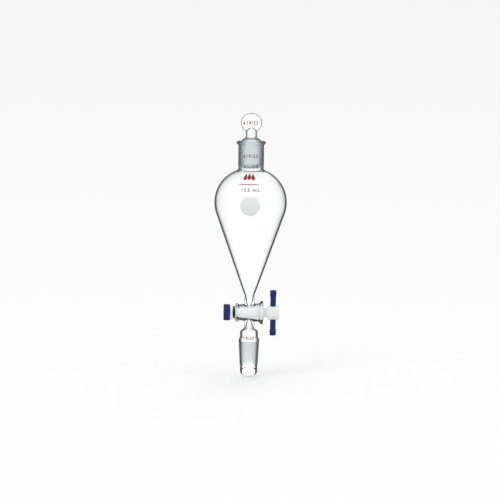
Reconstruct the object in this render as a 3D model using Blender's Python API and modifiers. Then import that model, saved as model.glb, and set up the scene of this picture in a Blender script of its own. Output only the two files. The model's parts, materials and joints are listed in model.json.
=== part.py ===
"""Pear-shaped dropping funnel with a PTFE stopcock, a penny-head stopper and 19/22 ground joints.

Units are metres and +Z is up. The origin is on the funnel's axis, at the large end of the lower
ground cone. The stopcock lies along X, with its handle at +X and its tension nut at -X, and the
slanted drip tip opens towards -Y. Heights are worked out from the lower cone upwards.
"""

import math

import bpy
from mathutils import Matrix

# Ground joints: 19/22 standard taper, 1 in 10 on the diameter
JOINT_RADIUS = 0.0094
JOINT_LENGTH = 0.022
JOINT_TAPER = 0.05  # radius lost for each metre of height
JOINT_WALL = 0.0016

# Clearances
SEAL_GAP = 0.0003  # between two glass components, where the flame seal is
FIT_GAP = 0.0003  # between ground, sliding or threaded faces

# Inner joint with its drip tip
TIP_STEP = 0.0004  # the tip is this much slimmer than the cone's small end
TIP_LENGTH = 0.0131  # below the ground zone, on the long side
TIP_SLANT = 0.0119  # height between the long and the short side of the slanted end
TUBE_STEP = 0.0001  # the clear tube is this much slimmer than the cone's small end
TUBE_LENGTH = 0.0048
FLARE_LENGTH = 0.0030  # from the ground zone up to the clear tube
LAND_LENGTH = 0.0012  # the flare is straight this far above the ground zone
SHOULDER_LENGTH = 0.0037
COLLAR_LENGTH = 0.0007

# Stopcock barrel, bored to a 1 in 5 taper, and its two side arms
BARREL_HALF_LENGTH = 0.0128
BORE_MID_RADIUS = 0.0059
BORE_TAPER = 0.1  # radius gained for each metre towards the handle
SMALL_END_WALL = 0.00263  # at the tension end
LARGE_END_WALL = 0.00132  # at the handle end
SMALL_BEAD_STANDOUT = 0.00125
LARGE_BEAD_STANDOUT = 0.00225
BEAD_ROUNDING = 0.0011
BEAD_REACH = 0.0033  # a bead fades into the barrel this far from its end
CROSS_BORE_RADIUS = 0.001
LOWER_ARM_RADIUS = 0.0047
LOWER_ARM_REACH = 0.0136  # from the stopcock's axis to the lower seal
LOWER_MOUTH_RADIUS = 0.0028
UPPER_ARM_RADIUS = 0.0049
UPPER_ARM_REACH = 0.0168  # from the stopcock's axis to the upper seal

# Pear bulb: a tangent cone, a sphere up to its widest circle, and a tighter crown above it
BULB_RADIUS = 0.0332
CROWN_STEP = 0.0022  # the crown's radius is this much less than the sphere's
BULB_WALL = 0.0015
CONE_HALF_ANGLE = math.radians(19.5)
BULB_FOOT_RADIUS = 0.0050
NECK_FILLET = 0.0030

# Neck socket
NECK_WALL = 0.00235  # around the socket's large end
WAIST_STEP = 0.0002  # the neck is this much slimmer at its seal
THROAT_STEP = 0.0007  # the throat is this much wider than the socket's small end
NECK_FLARE_LENGTH = 0.0020
RIM_BEAD_ROUNDING = 0.0016
RIM_MARGIN = 0.0006  # the socket's large end lies this far under the rim
RIM_CHAMFER = 0.0003
SOCKET_RELIEF = 0.0015

# Stopper
STOPPER_STANDOUT = 0.0009  # the ground cone ends this far above the socket's large end
DOME_HEIGHT = 0.0026
DOME_FULLNESS = 0.6  # share of its width and of its height at the middle of the dome
STEM_RADIUS = 0.00515
STEM_LENGTH = 0.0059
STOPPER_TOE = 0.0010
HEAD_WIDTH = 0.0192
HEAD_HEIGHT = 0.0176
HEAD_THICKNESS = 0.0056
HEAD_OVERLAP = 0.0009  # the stem's full width ends this far above the head's lowest point
STEM_FADE = 0.0053  # the stem thins to the head's thickness this far under its middle

# Plug tail, O-ring, washer and tension nut
PLUG_INSET = 0.0005  # the plug's small end stops this far inside the barrel
TAIL_RADIUS = 0.0032
TAIL_INSET = 0.0008  # the tail stops this far inside the nut's outer face
O_RING_SLACK = 0.00055  # between the O-ring's hole and the tail
O_RING_SEAT = 0.00113  # the O-ring covers this much of the barrel's end round the bore
WASHER_RADIUS = 0.00675
WASHER_THICKNESS = 0.0020
NUT_RADIUS = 0.0076
NUT_LENGTH = 0.0061
NUT_LOBES = 12
NUT_LOBE_DEPTH = 0.0004

# Handle end of the plug, and the bar through it
PLUG_STANDOUT = 0.0004  # the tapered body ends this far outside the barrel
COLLAR_RADIUS = 0.0040
COLLAR_REACH = 0.0033  # from the tapered body to the hub
HUB_RADIUS = 0.00645
HUB_LENGTH = 0.0109
HUB_CHAMFER = 0.0005
HANDLE_RADIUS = 0.00255
HANDLE_END_STEP = 0.0004  # the bar's ends are this much thicker than its shaft
HANDLE_END_LENGTH = 0.0060
HANDLE_LENGTH = 0.0420
HANDLE_ROUNDING = 0.0006

# Facets
BODY_STEPS = 48
JOINT_STEPS = 40
PLUG_STEPS = 32
SMALL_STEPS = 24
BULB_ARC_STEPS = 4
CROWN_ARC_STEPS = 10
LOBE_STEPS = 4
MERGE_DISTANCE = 0.00001
CUT_MARGIN = 0.002  # how far a cutter runs past what it cuts

# Radii, heights and places that follow from the sizes above
JOINT_SMALL_RADIUS = JOINT_RADIUS - JOINT_LENGTH * JOINT_TAPER
TIP_RADIUS = JOINT_SMALL_RADIUS - TIP_STEP
TUBE_RADIUS = JOINT_SMALL_RADIUS - TUBE_STEP
TUBE_TOP = FLARE_LENGTH + TUBE_LENGTH
SHOULDER_TOP = TUBE_TOP + SHOULDER_LENGTH
LOWER_SEAL = SHOULDER_TOP + COLLAR_LENGTH
STOPCOCK_HEIGHT = LOWER_SEAL + SEAL_GAP + LOWER_ARM_REACH
UPPER_ARM_TOP = STOPCOCK_HEIGHT + UPPER_ARM_REACH
BULB_BOTTOM = UPPER_ARM_TOP + SEAL_GAP
BULB_FOOT_INNER_RADIUS = BULB_FOOT_RADIUS - BULB_WALL / math.cos(CONE_HALF_ANGLE)
CONE_TOP_RADIUS = BULB_RADIUS * math.cos(CONE_HALF_ANGLE)
CONE_HEIGHT = (CONE_TOP_RADIUS - BULB_FOOT_RADIUS) / math.tan(CONE_HALF_ANGLE)
BULB_CENTRE = BULB_BOTTOM + CONE_HEIGHT + BULB_RADIUS * math.sin(CONE_HALF_ANGLE)
NECK_RADIUS = JOINT_RADIUS + NECK_WALL
WAIST_RADIUS = NECK_RADIUS - WAIST_STEP
THROAT_RADIUS = JOINT_SMALL_RADIUS + THROAT_STEP
FILLET_PLACE = WAIST_RADIUS + NECK_FILLET
CROWN_RADIUS = BULB_RADIUS - CROWN_STEP
CROWN_REACH = FILLET_PLACE - CROWN_STEP  # from the crown's centre to the fillet's, sideways
BULB_TOP = BULB_CENTRE + math.sqrt((CROWN_RADIUS + NECK_FILLET) ** 2 - CROWN_REACH**2)
NECK_BOTTOM = BULB_TOP + SEAL_GAP
SOCKET_BOTTOM = NECK_BOTTOM + SOCKET_RELIEF
SOCKET_TOP = SOCKET_BOTTOM + JOINT_LENGTH
RIM_HEIGHT = SOCKET_TOP + RIM_MARGIN
O_RING_HOLE = TAIL_RADIUS + O_RING_SLACK
O_RING_RADIUS = BORE_MID_RADIUS - BARREL_HALF_LENGTH * BORE_TAPER + O_RING_SEAT
O_RING_ROUNDING = (O_RING_RADIUS - O_RING_HOLE) / 2
O_RING_MID_RADIUS = (O_RING_RADIUS + O_RING_HOLE) / 2
O_RING_PLACE = -BARREL_HALF_LENGTH - FIT_GAP - O_RING_ROUNDING
WASHER_FACE = O_RING_PLACE - O_RING_ROUNDING - FIT_GAP
WASHER_BACK = WASHER_FACE - WASHER_THICKNESS
NUT_FACE = WASHER_BACK - FIT_GAP
COLLAR_START = BARREL_HALF_LENGTH + PLUG_STANDOUT
HUB_START = COLLAR_START + COLLAR_REACH
HANDLE_PLACE = HUB_START + HUB_LENGTH / 2
ALONG_X = Matrix.Rotation(math.pi / 2, 4, "Y")
STOPCOCK_FRAME = Matrix.Translation((0.0, 0.0, STOPCOCK_HEIGHT)) @ ALONG_X


def clear_scene():
    """Remove every object, so the file starts empty."""
    for old in list(bpy.data.objects):
        bpy.data.objects.remove(old, do_unlink=True)


def new_collection(name):
    """A collection linked to the scene."""
    collection = bpy.data.collections.new(name)
    bpy.context.scene.collection.children.link(collection)
    return collection


def make_material(name, color, roughness, transmission=0.0):
    """A Principled material with one colour."""
    material = bpy.data.materials.new(name)
    material.use_nodes = True
    shader = material.node_tree.nodes["Principled BSDF"]
    shader.inputs["Base Color"].default_value = (*color, 1.0)
    shader.inputs["Roughness"].default_value = roughness
    shader.inputs["Metallic"].default_value = 0.0
    shader.inputs["Transmission Weight"].default_value = transmission
    material.diffuse_color = (*color, 1.0)
    return material


def arc(centre, radius, start, end, count):
    """Points on an arc in the (radius, height) plane, from one angle in degrees to the other."""
    angles = [math.radians(start + (end - start) * i / count) for i in range(count + 1)]
    return [
        (centre[0] + radius * math.cos(angle), centre[1] + radius * math.sin(angle))
        for angle in angles
    ]


def turned(name, outline, steps, collection, ring=False):
    """A solid of revolution about local Z. The outline runs down the outer side, and a ring's
    outline then comes back up its inner side and closes on its first point."""
    edges = [(i, i + 1) for i in range(len(outline) - 1)]
    if ring:
        edges.append((len(outline) - 1, 0))
    mesh = bpy.data.meshes.new(name)
    mesh.from_pydata([(r, 0.0, z) for r, z in outline], edges, [])
    solid = bpy.data.objects.new(name, mesh)
    collection.objects.link(solid)
    screw = solid.modifiers.new("turned", "SCREW")
    screw.axis = "Z"
    screw.angle = 2 * math.pi
    screw.steps = steps
    screw.render_steps = steps
    screw.use_merge_vertices = True
    screw.merge_threshold = MERGE_DISTANCE
    screw.use_smooth_shade = True
    return solid


def as_tool(tool, place=None):
    """Put an object in its place and mark it as one that only cuts or joins others."""
    if place is not None:
        tool.matrix_world = place
    tool.hide_render = True
    tool.display_type = "WIRE"
    return tool


def turned_tool(name, top, bottom, steps, tools, place=None):
    """A cylinder or cone to cut or join with, from one (radius, height) pair to a lower one."""
    outline = [(0.0, top[1]), top, bottom, (0.0, bottom[1])]
    return as_tool(turned(name, outline, steps, tools), place)


def run_past(near, far):
    """The far (radius, height) end of a cone, carried on along its slope by the cut margin."""
    share = 1 + CUT_MARGIN / abs(far[1] - near[1])
    return near[0] + (far[0] - near[0]) * share, near[1] + (far[1] - near[1]) * share


def combine(target, tool, operation):
    """Cut the tool from the target, or join the tool to it."""
    boolean = target.modifiers.new(tool.name, "BOOLEAN")
    boolean.operation = operation
    boolean.solver = "EXACT"
    boolean.object = tool


def finish(solid, material):
    """Give a finished piece its material."""
    solid.data.materials.clear()
    solid.data.materials.append(material)
    return solid


def cone_radius(below):
    """Radius of the standard taper at a distance below its large end."""
    return JOINT_RADIUS - below * JOINT_TAPER


def bore_radius(x):
    """Radius of the barrel's tapered bore at a place along the stopcock's axis."""
    return BORE_MID_RADIUS + x * BORE_TAPER


def slant_block(tip_bottom, tools):
    """The block that cuts the drip tip off on a slant, open towards -Y."""
    size = 4 * (TIP_RADIUS + TIP_LENGTH)
    bpy.ops.mesh.primitive_cube_add(size=size)
    block = bpy.context.object
    block.name = "slant_block"
    for holder in list(block.users_collection):
        holder.objects.unlink(block)
    tools.objects.link(block)
    middle = Matrix.Translation((0.0, 0.0, tip_bottom + TIP_SLANT / 2))
    turn = Matrix.Rotation(-math.atan2(TIP_SLANT, 2 * TIP_RADIUS), 4, "X")
    drop = Matrix.Translation((0.0, 0.0, -size / 2))
    return as_tool(block, middle @ turn @ drop)


def build_inner_joint(parts, tools, glass):
    """Shoulder, clear tube, ground cone and the drip tip with its slanted end."""
    step_bottom = -JOINT_LENGTH - TIP_STEP
    tip_bottom = -JOINT_LENGTH - TIP_LENGTH
    cut_bottom = tip_bottom - CUT_MARGIN
    outer = [
        (LOWER_ARM_RADIUS, LOWER_SEAL),
        (LOWER_ARM_RADIUS, SHOULDER_TOP),
        ((LOWER_ARM_RADIUS + TUBE_RADIUS) / 2, SHOULDER_TOP - SHOULDER_LENGTH / 4),
        (TUBE_RADIUS, TUBE_TOP),
        (TUBE_RADIUS, FLARE_LENGTH),
        (JOINT_RADIUS, LAND_LENGTH),
        (JOINT_RADIUS, 0.0),
        (JOINT_SMALL_RADIUS, -JOINT_LENGTH),
        (TIP_RADIUS, step_bottom),
        (TIP_RADIUS, cut_bottom),
    ]
    inner = [
        (TIP_RADIUS - JOINT_WALL, cut_bottom),
        (TIP_RADIUS - JOINT_WALL, step_bottom - TIP_STEP),
        (JOINT_SMALL_RADIUS - JOINT_WALL, -JOINT_LENGTH),
        (JOINT_RADIUS - JOINT_WALL, 0.0),
        (JOINT_RADIUS - JOINT_WALL, LAND_LENGTH),
        (TUBE_RADIUS - JOINT_WALL, FLARE_LENGTH),
        (TUBE_RADIUS - JOINT_WALL, TUBE_TOP),
        (LOWER_MOUTH_RADIUS, SHOULDER_TOP - JOINT_WALL / 2),
        (LOWER_MOUTH_RADIUS, LOWER_SEAL),
    ]
    joint = turned("inner_joint", outer + inner, JOINT_STEPS, parts, ring=True)
    combine(joint, slant_block(tip_bottom, tools), "DIFFERENCE")
    return finish(joint, glass)


def barrel_outline():
    """Outline of the barrel before it is bored, from its handle end to its tension end."""
    end = BARREL_HALF_LENGTH
    large_radius = bore_radius(end) + LARGE_END_WALL
    small_radius = bore_radius(-end) + SMALL_END_WALL
    large_bead = (large_radius + LARGE_BEAD_STANDOUT - BEAD_ROUNDING, end - BEAD_ROUNDING)
    small_bead = (small_radius + SMALL_BEAD_STANDOUT - BEAD_ROUNDING, BEAD_ROUNDING - end)
    outline = [(0.0, end)]
    outline += arc(large_bead, BEAD_ROUNDING, 90, -120, 7)
    outline.append((large_radius, end - BEAD_REACH))
    outline.append((small_radius, BEAD_REACH - end))
    outline += arc(small_bead, BEAD_ROUNDING, 90, -90, 6)
    outline.append((0.0, -end))
    return outline


def build_stopcock_barrel(parts, tools, glass):
    """The glass barrel with an arm above and an arm below, bored across for the liquid."""
    barrel = turned("stopcock_barrel", barrel_outline(), JOINT_STEPS, parts)
    barrel.matrix_world = STOPCOCK_FRAME
    middle = STOPCOCK_HEIGHT
    lower_end = LOWER_SEAL + SEAL_GAP
    arms = [
        ("upper_arm", (UPPER_ARM_RADIUS, UPPER_ARM_TOP), (UPPER_ARM_RADIUS, middle)),
        ("lower_arm", (LOWER_ARM_RADIUS, middle), (LOWER_ARM_RADIUS, lower_end)),
    ]
    for name, top, bottom in arms:
        combine(barrel, turned_tool(name, top, bottom, SMALL_STEPS, tools), "UNION")
    end = BARREL_HALF_LENGTH + CUT_MARGIN
    ends = (bore_radius(end), end), (bore_radius(-end), -end)
    reamer = turned_tool("plug_bore", *ends, JOINT_STEPS, tools, STOPCOCK_FRAME)
    combine(barrel, reamer, "DIFFERENCE")
    bore = (CROSS_BORE_RADIUS, middle)
    upper_mouth = run_past(bore, (BULB_FOOT_INNER_RADIUS, UPPER_ARM_TOP))
    lower_mouth = run_past(bore, (LOWER_MOUTH_RADIUS, lower_end))
    ways = [("upper_way", upper_mouth, bore), ("lower_way", bore, lower_mouth)]
    for name, top, bottom in ways:
        combine(barrel, turned_tool(name, top, bottom, SMALL_STEPS, tools), "DIFFERENCE")
    return finish(barrel, glass)


def build_pear_bulb(parts, glass):
    """A cone, part of a sphere and its crown, with an even wall and a fillet up to the neck."""
    centre = (0.0, BULB_CENTRE)
    crown = (CROWN_STEP, BULB_CENTRE)
    foot_angle = -math.degrees(CONE_HALF_ANGLE)
    top_angle = math.degrees(math.atan2(BULB_TOP - BULB_CENTRE, CROWN_REACH))
    inner_crown = CROWN_RADIUS - BULB_WALL
    throat_angle = math.degrees(math.acos((THROAT_RADIUS - CROWN_STEP) / inner_crown))
    outer = arc((FILLET_PLACE, BULB_TOP), NECK_FILLET, 180, 180 + top_angle, 4)
    outer += arc(crown, CROWN_RADIUS, top_angle, 0, CROWN_ARC_STEPS)[1:]
    outer += arc(centre, BULB_RADIUS, 0, foot_angle, BULB_ARC_STEPS)[1:]
    outer.append((BULB_FOOT_RADIUS, BULB_BOTTOM))
    inner = [(BULB_FOOT_INNER_RADIUS, BULB_BOTTOM)]
    inner += arc(centre, BULB_RADIUS - BULB_WALL, foot_angle, 0, BULB_ARC_STEPS)
    inner += arc(crown, inner_crown, 0, throat_angle, CROWN_ARC_STEPS)[1:]
    inner.append((THROAT_RADIUS, BULB_TOP))
    return finish(turned("pear_bulb", outer + inner, BODY_STEPS, parts, ring=True), glass)


def build_neck_socket(parts, glass):
    """The neck, flared out from its seal, with a flat-topped rim bead and a ground socket."""
    bead_centre = (NECK_RADIUS, RIM_HEIGHT - RIM_BEAD_ROUNDING)
    outer = arc(bead_centre, RIM_BEAD_ROUNDING, 90, -90, 8)
    outer += [(NECK_RADIUS, NECK_BOTTOM + NECK_FLARE_LENGTH), (WAIST_RADIUS, NECK_BOTTOM)]
    inner = [
        (THROAT_RADIUS, NECK_BOTTOM),
        (JOINT_SMALL_RADIUS, SOCKET_BOTTOM),
        (JOINT_RADIUS, SOCKET_TOP),
        (JOINT_RADIUS + RIM_CHAMFER, RIM_HEIGHT),
    ]
    return finish(turned("neck_socket", outer + inner, BODY_STEPS, parts, ring=True), glass)


def build_stopper(parts, tools, glass):
    """A ground cone with a domed shoulder, a round stem and a flat oval head."""
    cone_top = SOCKET_TOP + STOPPER_STANDOUT
    cone_bottom = cone_top - JOINT_LENGTH
    top_radius = cone_radius(-STOPPER_STANDOUT) - FIT_GAP
    bottom_radius = cone_radius(JOINT_LENGTH - STOPPER_STANDOUT) - FIT_GAP
    stem_top = cone_top + DOME_HEIGHT + STEM_LENGTH
    head_centre = stem_top - HEAD_OVERLAP + HEAD_HEIGHT / 2
    outline = [(0.0, head_centre), (HEAD_THICKNESS / 2, head_centre - STEM_FADE)]
    outline.append((STEM_RADIUS, stem_top))
    outline += [
        (STEM_RADIUS + (top_radius - STEM_RADIUS) * across, cone_top + DOME_HEIGHT * up)
        for across, up in ((0.0, 1.0), (DOME_FULLNESS, DOME_FULLNESS), (1.0, 0.0))
    ]
    outline += [
        (bottom_radius, cone_bottom),
        (bottom_radius - STOPPER_TOE, cone_bottom - STOPPER_TOE),
        (0.0, cone_bottom - STOPPER_TOE),
    ]
    stopper = turned("stopper", outline, JOINT_STEPS, parts)
    half = HEAD_THICKNESS / 2
    edge = arc((HEAD_WIDTH / 2 - half, 0.0), half, 90, -90, 6)
    head = turned("head", [(0.0, half), *edge, (0.0, -half)], JOINT_STEPS, tools)
    oval = Matrix.Diagonal((1.0, 1.0, HEAD_HEIGHT / HEAD_WIDTH, 1.0))
    facing = Matrix.Rotation(math.pi / 2, 4, "X")
    place = Matrix.Translation((0.0, 0.0, head_centre)) @ oval @ facing
    combine(stopper, as_tool(head, place), "UNION")
    return finish(stopper, glass)


def build_stopcock_plug(parts, tools, ptfe):
    """The tapered plug with its tail, collar and hub, bored for the liquid and the handle."""
    body_start = PLUG_INSET - BARREL_HALF_LENGTH
    tail_end = NUT_FACE - NUT_LENGTH + TAIL_INSET
    hub_end = HUB_START + HUB_LENGTH
    outline = [
        (0.0, hub_end),
        (HUB_RADIUS - HUB_CHAMFER, hub_end),
        (HUB_RADIUS, hub_end - HUB_CHAMFER),
        (HUB_RADIUS, HUB_START + HUB_CHAMFER),
        (HUB_RADIUS - HUB_CHAMFER, HUB_START),
        (COLLAR_RADIUS, HUB_START),
        (COLLAR_RADIUS, COLLAR_START),
        (bore_radius(COLLAR_START) - FIT_GAP, COLLAR_START),
        (bore_radius(body_start) - FIT_GAP, body_start),
        (TAIL_RADIUS, body_start),
        (TAIL_RADIUS, tail_end),
        (0.0, tail_end),
    ]
    plug = turned("stopcock_plug", outline, PLUG_STEPS, parts)
    plug.matrix_world = STOPCOCK_FRAME
    drills = [
        ("cross_bore", CROSS_BORE_RADIUS, 0.0, bore_radius(0.0) + CUT_MARGIN),
        ("handle_hole", HANDLE_RADIUS + FIT_GAP, HANDLE_PLACE, HUB_RADIUS + CUT_MARGIN),
    ]
    for name, radius, along, reach in drills:
        place = Matrix.Translation((along, 0.0, STOPCOCK_HEIGHT))
        ends = (radius, reach), (radius, -reach)
        combine(plug, turned_tool(name, *ends, SMALL_STEPS, tools, place), "DIFFERENCE")
    return finish(plug, ptfe)


def build_handle_bar(parts, plastic):
    """The upright bar through the hub, thicker at both ends."""
    half = HANDLE_LENGTH / 2
    end_radius = HANDLE_RADIUS + HANDLE_END_STEP
    shaft = half - HANDLE_END_LENGTH
    upper = [
        (0.0, half),
        (end_radius - HANDLE_ROUNDING, half),
        (end_radius, half - HANDLE_ROUNDING),
        (end_radius, shaft + HANDLE_END_STEP),
        (HANDLE_RADIUS, shaft),
    ]
    lower = [(radius, -height) for radius, height in reversed(upper)]
    bar = turned("handle_bar", upper + lower, SMALL_STEPS, parts)
    bar.matrix_world = Matrix.Translation((HANDLE_PLACE, 0.0, STOPCOCK_HEIGHT))
    return finish(bar, plastic)


def build_o_ring(parts, rubber):
    """The rubber ring that seals the tension end of the barrel."""
    outline = arc((O_RING_MID_RADIUS, O_RING_PLACE), O_RING_ROUNDING, 90, -270, 10)[:-1]
    ring = turned("o_ring", outline, PLUG_STEPS, parts, ring=True)
    ring.matrix_world = STOPCOCK_FRAME
    return finish(ring, rubber)


def build_plug_washer(parts, ptfe):
    """The flat washer between the O-ring and the nut."""
    hole = TAIL_RADIUS + FIT_GAP
    outline = [(WASHER_RADIUS, WASHER_FACE), (WASHER_RADIUS, WASHER_BACK)]
    outline += [(hole, WASHER_BACK), (hole, WASHER_FACE)]
    washer = turned("plug_washer", outline, PLUG_STEPS, parts, ring=True)
    washer.matrix_world = STOPCOCK_FRAME
    return finish(washer, ptfe)


def lobed_circle(radius, depth, lobes, steps):
    """Points round a circle whose radius dips by twice a depth between its lobes."""
    angles = [2 * math.pi * i / (lobes * steps) for i in range(lobes * steps)]
    reach = [radius - depth * (1 - math.cos(lobes * angle)) for angle in angles]
    return [(r * math.cos(a), r * math.sin(a), 0.0, 1.0) for r, a in zip(reach, angles)]


def build_tension_nut(parts, plastic):
    """The lobed nut that draws the plug into its taper."""
    outline = bpy.data.curves.new("tension_nut", "CURVE")
    outline.dimensions = "2D"
    outline.fill_mode = "BOTH"
    outline.extrude = NUT_LENGTH / 2
    loops = [
        lobed_circle(NUT_RADIUS, NUT_LOBE_DEPTH, NUT_LOBES, LOBE_STEPS),
        lobed_circle(TAIL_RADIUS + FIT_GAP, 0.0, 1, SMALL_STEPS),
    ]
    for points in loops:
        spline = outline.splines.new("POLY")
        spline.points.add(len(points) - 1)
        spline.points.foreach_set("co", [value for point in points for value in point])
        spline.use_cyclic_u = True
    nut = bpy.data.objects.new("tension_nut", outline)
    parts.objects.link(nut)
    nut.matrix_world = STOPCOCK_FRAME @ Matrix.Translation((0.0, 0.0, NUT_FACE - NUT_LENGTH / 2))
    return finish(nut, plastic)


def main():
    """Model every piece of the funnel."""
    clear_scene()
    parts = new_collection("dropping_funnel")
    tools = new_collection("cutters")
    glass = make_material("borosilicate_glass", (0.86, 0.90, 0.90), 0.05, 0.9)
    ptfe = make_material("white_ptfe", (0.88, 0.88, 0.90), 0.45)
    plastic = make_material("blue_plastic", (0.03, 0.06, 0.32), 0.35)
    rubber = make_material("black_rubber", (0.02, 0.02, 0.02), 0.6)
    build_inner_joint(parts, tools, glass)
    build_stopcock_barrel(parts, tools, glass)
    build_pear_bulb(parts, glass)
    build_neck_socket(parts, glass)
    build_stopper(parts, tools, glass)
    build_stopcock_plug(parts, tools, ptfe)
    build_handle_bar(parts, plastic)
    build_o_ring(parts, rubber)
    build_plug_washer(parts, ptfe)
    build_tension_nut(parts, plastic)


main()
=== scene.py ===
"""Looks for a pear-shaped dropping funnel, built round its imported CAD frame.

Units are metres, +Z is up and the funnel's axis is Z. The glass is one fused vessel. The stopper,
the PTFE plug with its bar, the seal rings and the tension nut are separate pieces that ride on
their own bodies. The stopcock's parts are turned about a line along X.
"""

import json
import math

import bmesh
import bpy
import numpy as np
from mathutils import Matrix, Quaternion, Vector


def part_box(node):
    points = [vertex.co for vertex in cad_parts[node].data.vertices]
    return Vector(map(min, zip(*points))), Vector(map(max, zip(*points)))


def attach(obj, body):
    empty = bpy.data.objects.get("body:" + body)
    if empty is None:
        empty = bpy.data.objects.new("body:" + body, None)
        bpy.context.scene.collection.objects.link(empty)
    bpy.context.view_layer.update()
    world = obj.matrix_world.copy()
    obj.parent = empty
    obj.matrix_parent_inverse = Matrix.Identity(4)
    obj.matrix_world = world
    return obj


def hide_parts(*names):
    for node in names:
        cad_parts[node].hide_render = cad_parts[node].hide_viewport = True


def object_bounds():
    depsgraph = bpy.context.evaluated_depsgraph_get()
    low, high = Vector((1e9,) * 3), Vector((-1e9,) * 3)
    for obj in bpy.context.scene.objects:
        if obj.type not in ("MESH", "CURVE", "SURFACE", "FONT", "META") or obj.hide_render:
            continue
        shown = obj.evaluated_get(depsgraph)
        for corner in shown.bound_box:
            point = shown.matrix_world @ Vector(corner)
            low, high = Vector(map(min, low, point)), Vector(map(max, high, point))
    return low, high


bl_info = {
    "name": "Dropping Funnel Looks",
    "version": (1, 0, 0),
    "blender": (4, 5, 0),
    "location": "3D View > Sidebar > Funnel",
    "description": "Builds a dropping funnel's glass, stopcock, marks and studio round its CAD frame",
    "category": "Add Mesh",
}

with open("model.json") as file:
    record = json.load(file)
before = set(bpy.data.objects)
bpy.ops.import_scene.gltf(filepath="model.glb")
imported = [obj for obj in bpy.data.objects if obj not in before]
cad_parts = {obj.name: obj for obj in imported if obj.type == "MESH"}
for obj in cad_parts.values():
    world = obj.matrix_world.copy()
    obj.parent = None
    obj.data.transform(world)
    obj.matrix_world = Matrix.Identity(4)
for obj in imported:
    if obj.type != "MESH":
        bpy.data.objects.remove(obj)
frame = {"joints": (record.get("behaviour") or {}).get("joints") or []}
CAD_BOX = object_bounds()

# Places that the frame gives
NECK_LOW, NECK_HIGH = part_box("neck_socket")
BULB_LOW, BULB_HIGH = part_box("pear_bulb")
BARREL_LOW, BARREL_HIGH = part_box("stopcock_barrel")
JOINT_LOW, JOINT_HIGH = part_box("inner_joint")
STOPPER_LOW, STOPPER_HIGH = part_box("stopper")
PLUG_LOW, PLUG_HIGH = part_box("stopcock_plug")
BAR_LOW, BAR_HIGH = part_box("handle_bar")
RING_LOW, RING_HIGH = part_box("o_ring")
WASHER_LOW, WASHER_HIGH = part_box("plug_washer")
NUT_LOW, NUT_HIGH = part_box("tension_nut")
STOPCOCK_HEIGHT = next(j["pos_m"][2] for j in frame["joints"] if j["name"] == "plug_turn")
STOPCOCK_CENTRE = np.array([0.0, 0.0, STOPCOCK_HEIGHT])

COLUMNS = 128  # facets round the glass
WELD = 1e-6  # points nearer than this are one point
ROUND = 2 * math.pi


# ---------------------------------------------------------------- sizes and colours


def length(name, description, default):
    """A size in metres that a user may change."""
    return bpy.props.FloatProperty(
        name=name, description=description, default=default, unit="LENGTH", precision=5
    )


def angle(name, description, degrees):
    """An angle that a user may change."""
    return bpy.props.FloatProperty(
        name=name, description=description, default=math.radians(degrees), subtype="ANGLE"
    )


def share(name, description, default):
    """A number without a unit that a user may change."""
    return bpy.props.FloatProperty(name=name, description=description, default=default)


def color(name, description, default):
    """A linear colour that a user may change."""
    return bpy.props.FloatVectorProperty(
        name=name, description=description, default=default, subtype="COLOR", size=3, min=0, max=1
    )


class VesselSizes(bpy.types.PropertyGroup):
    """Sizes of the fused glass vessel that its box doesn't give."""

    bulb_wall: length("Bulb wall", "Thickness of the bulb's wall", 0.0015)
    cone_angle: angle("Cone angle", "Half angle of the bulb's lower cone", 19.5)
    foot_radius: length("Foot radius", "Outer radius where the cone meets its arm", 0.0050)
    arm_waist: length("Arm waist", "Outer radius of the flame seal under the bulb", 0.0043)
    joint_small: length("Small end", "Radius at the small end of a 19/22 joint", 0.0083)
    joint_length: length("Joint length", "Height of a ground zone", 0.022)
    neck_radius: length("Neck radius", "Outer radius of the neck", 0.01175)
    neck_waist: length("Neck waist", "Outer radius of the seal under the neck", 0.01155)
    neck_fillet: length("Neck fillet", "Radius of the curve from the bulb to the neck", 0.0030)
    crown_step: length("Crown step", "The bulb's crown is this much tighter than its sphere", 0.0022)
    throat_radius: length("Throat radius", "Inner radius between the neck and the bulb", 0.0090)
    bead_radius: length("Rim bead", "Rounding of the bead round the rim", 0.00155)
    lead: length("Lead", "Height of the lead-in at the socket's mouth", 0.0006)
    lead_width: length("Lead width", "Width of the lead-in at the socket's mouth", 0.0003)
    joint_wall: length("Joint wall", "Thickness of the lower joint's wall", 0.0016)
    tube_radius: length("Tube radius", "Outer radius of the tube over the lower joint", 0.0082)
    tube_top: length("Tube top", "Height where the tube's shoulder starts", 0.0078)
    flare: length("Flare", "Height where the tube has left its flare to the joint", 0.0030)
    land: length("Land", "Clear straight length over the lower ground zone", 0.0012)
    tip_radius: length("Tip radius", "Outer radius of the drip tip", 0.0079)
    tip_step: length("Tip step", "Height of the step from the ground zone to the tip", 0.0004)
    tip_slant: length("Tip slant", "Height between the tip's long and short side", 0.0119)
    barrel_small: length("Barrel small end", "Outer radius at the tension end", 0.00725)
    barrel_large: length("Barrel large end", "Outer radius at the handle end", 0.0085)
    small_bead: length("Small bead", "How far the tension end's bead stands out", 0.00125)
    large_bead: length("Large bead", "How far the handle end's bead stands out", 0.00225)
    bore_middle: length("Plug bore", "Radius of the plug's bore at its middle", 0.0059)
    bore_taper: share("Bore taper", "Radius that the bore gains per metre to the handle", 0.1)
    upper_arm: length("Upper arm", "Outer radius of the arm over the stopcock", 0.0049)
    lower_arm: length("Lower arm", "Outer radius of the arm under the stopcock", 0.0047)
    way_radius: length("Liquid way", "Radius of the way where it opens into the bore", 0.0015)
    upper_way: length("Upper way", "Radius of the way at the end of the bulb's cone", 0.0029)
    lower_way: length("Lower way", "Radius of the way at the seal under the stopcock", 0.0028)
    fillet: length("Seal fillet", "Reach of the fillet between an arm and the barrel", 0.0015)


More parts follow.
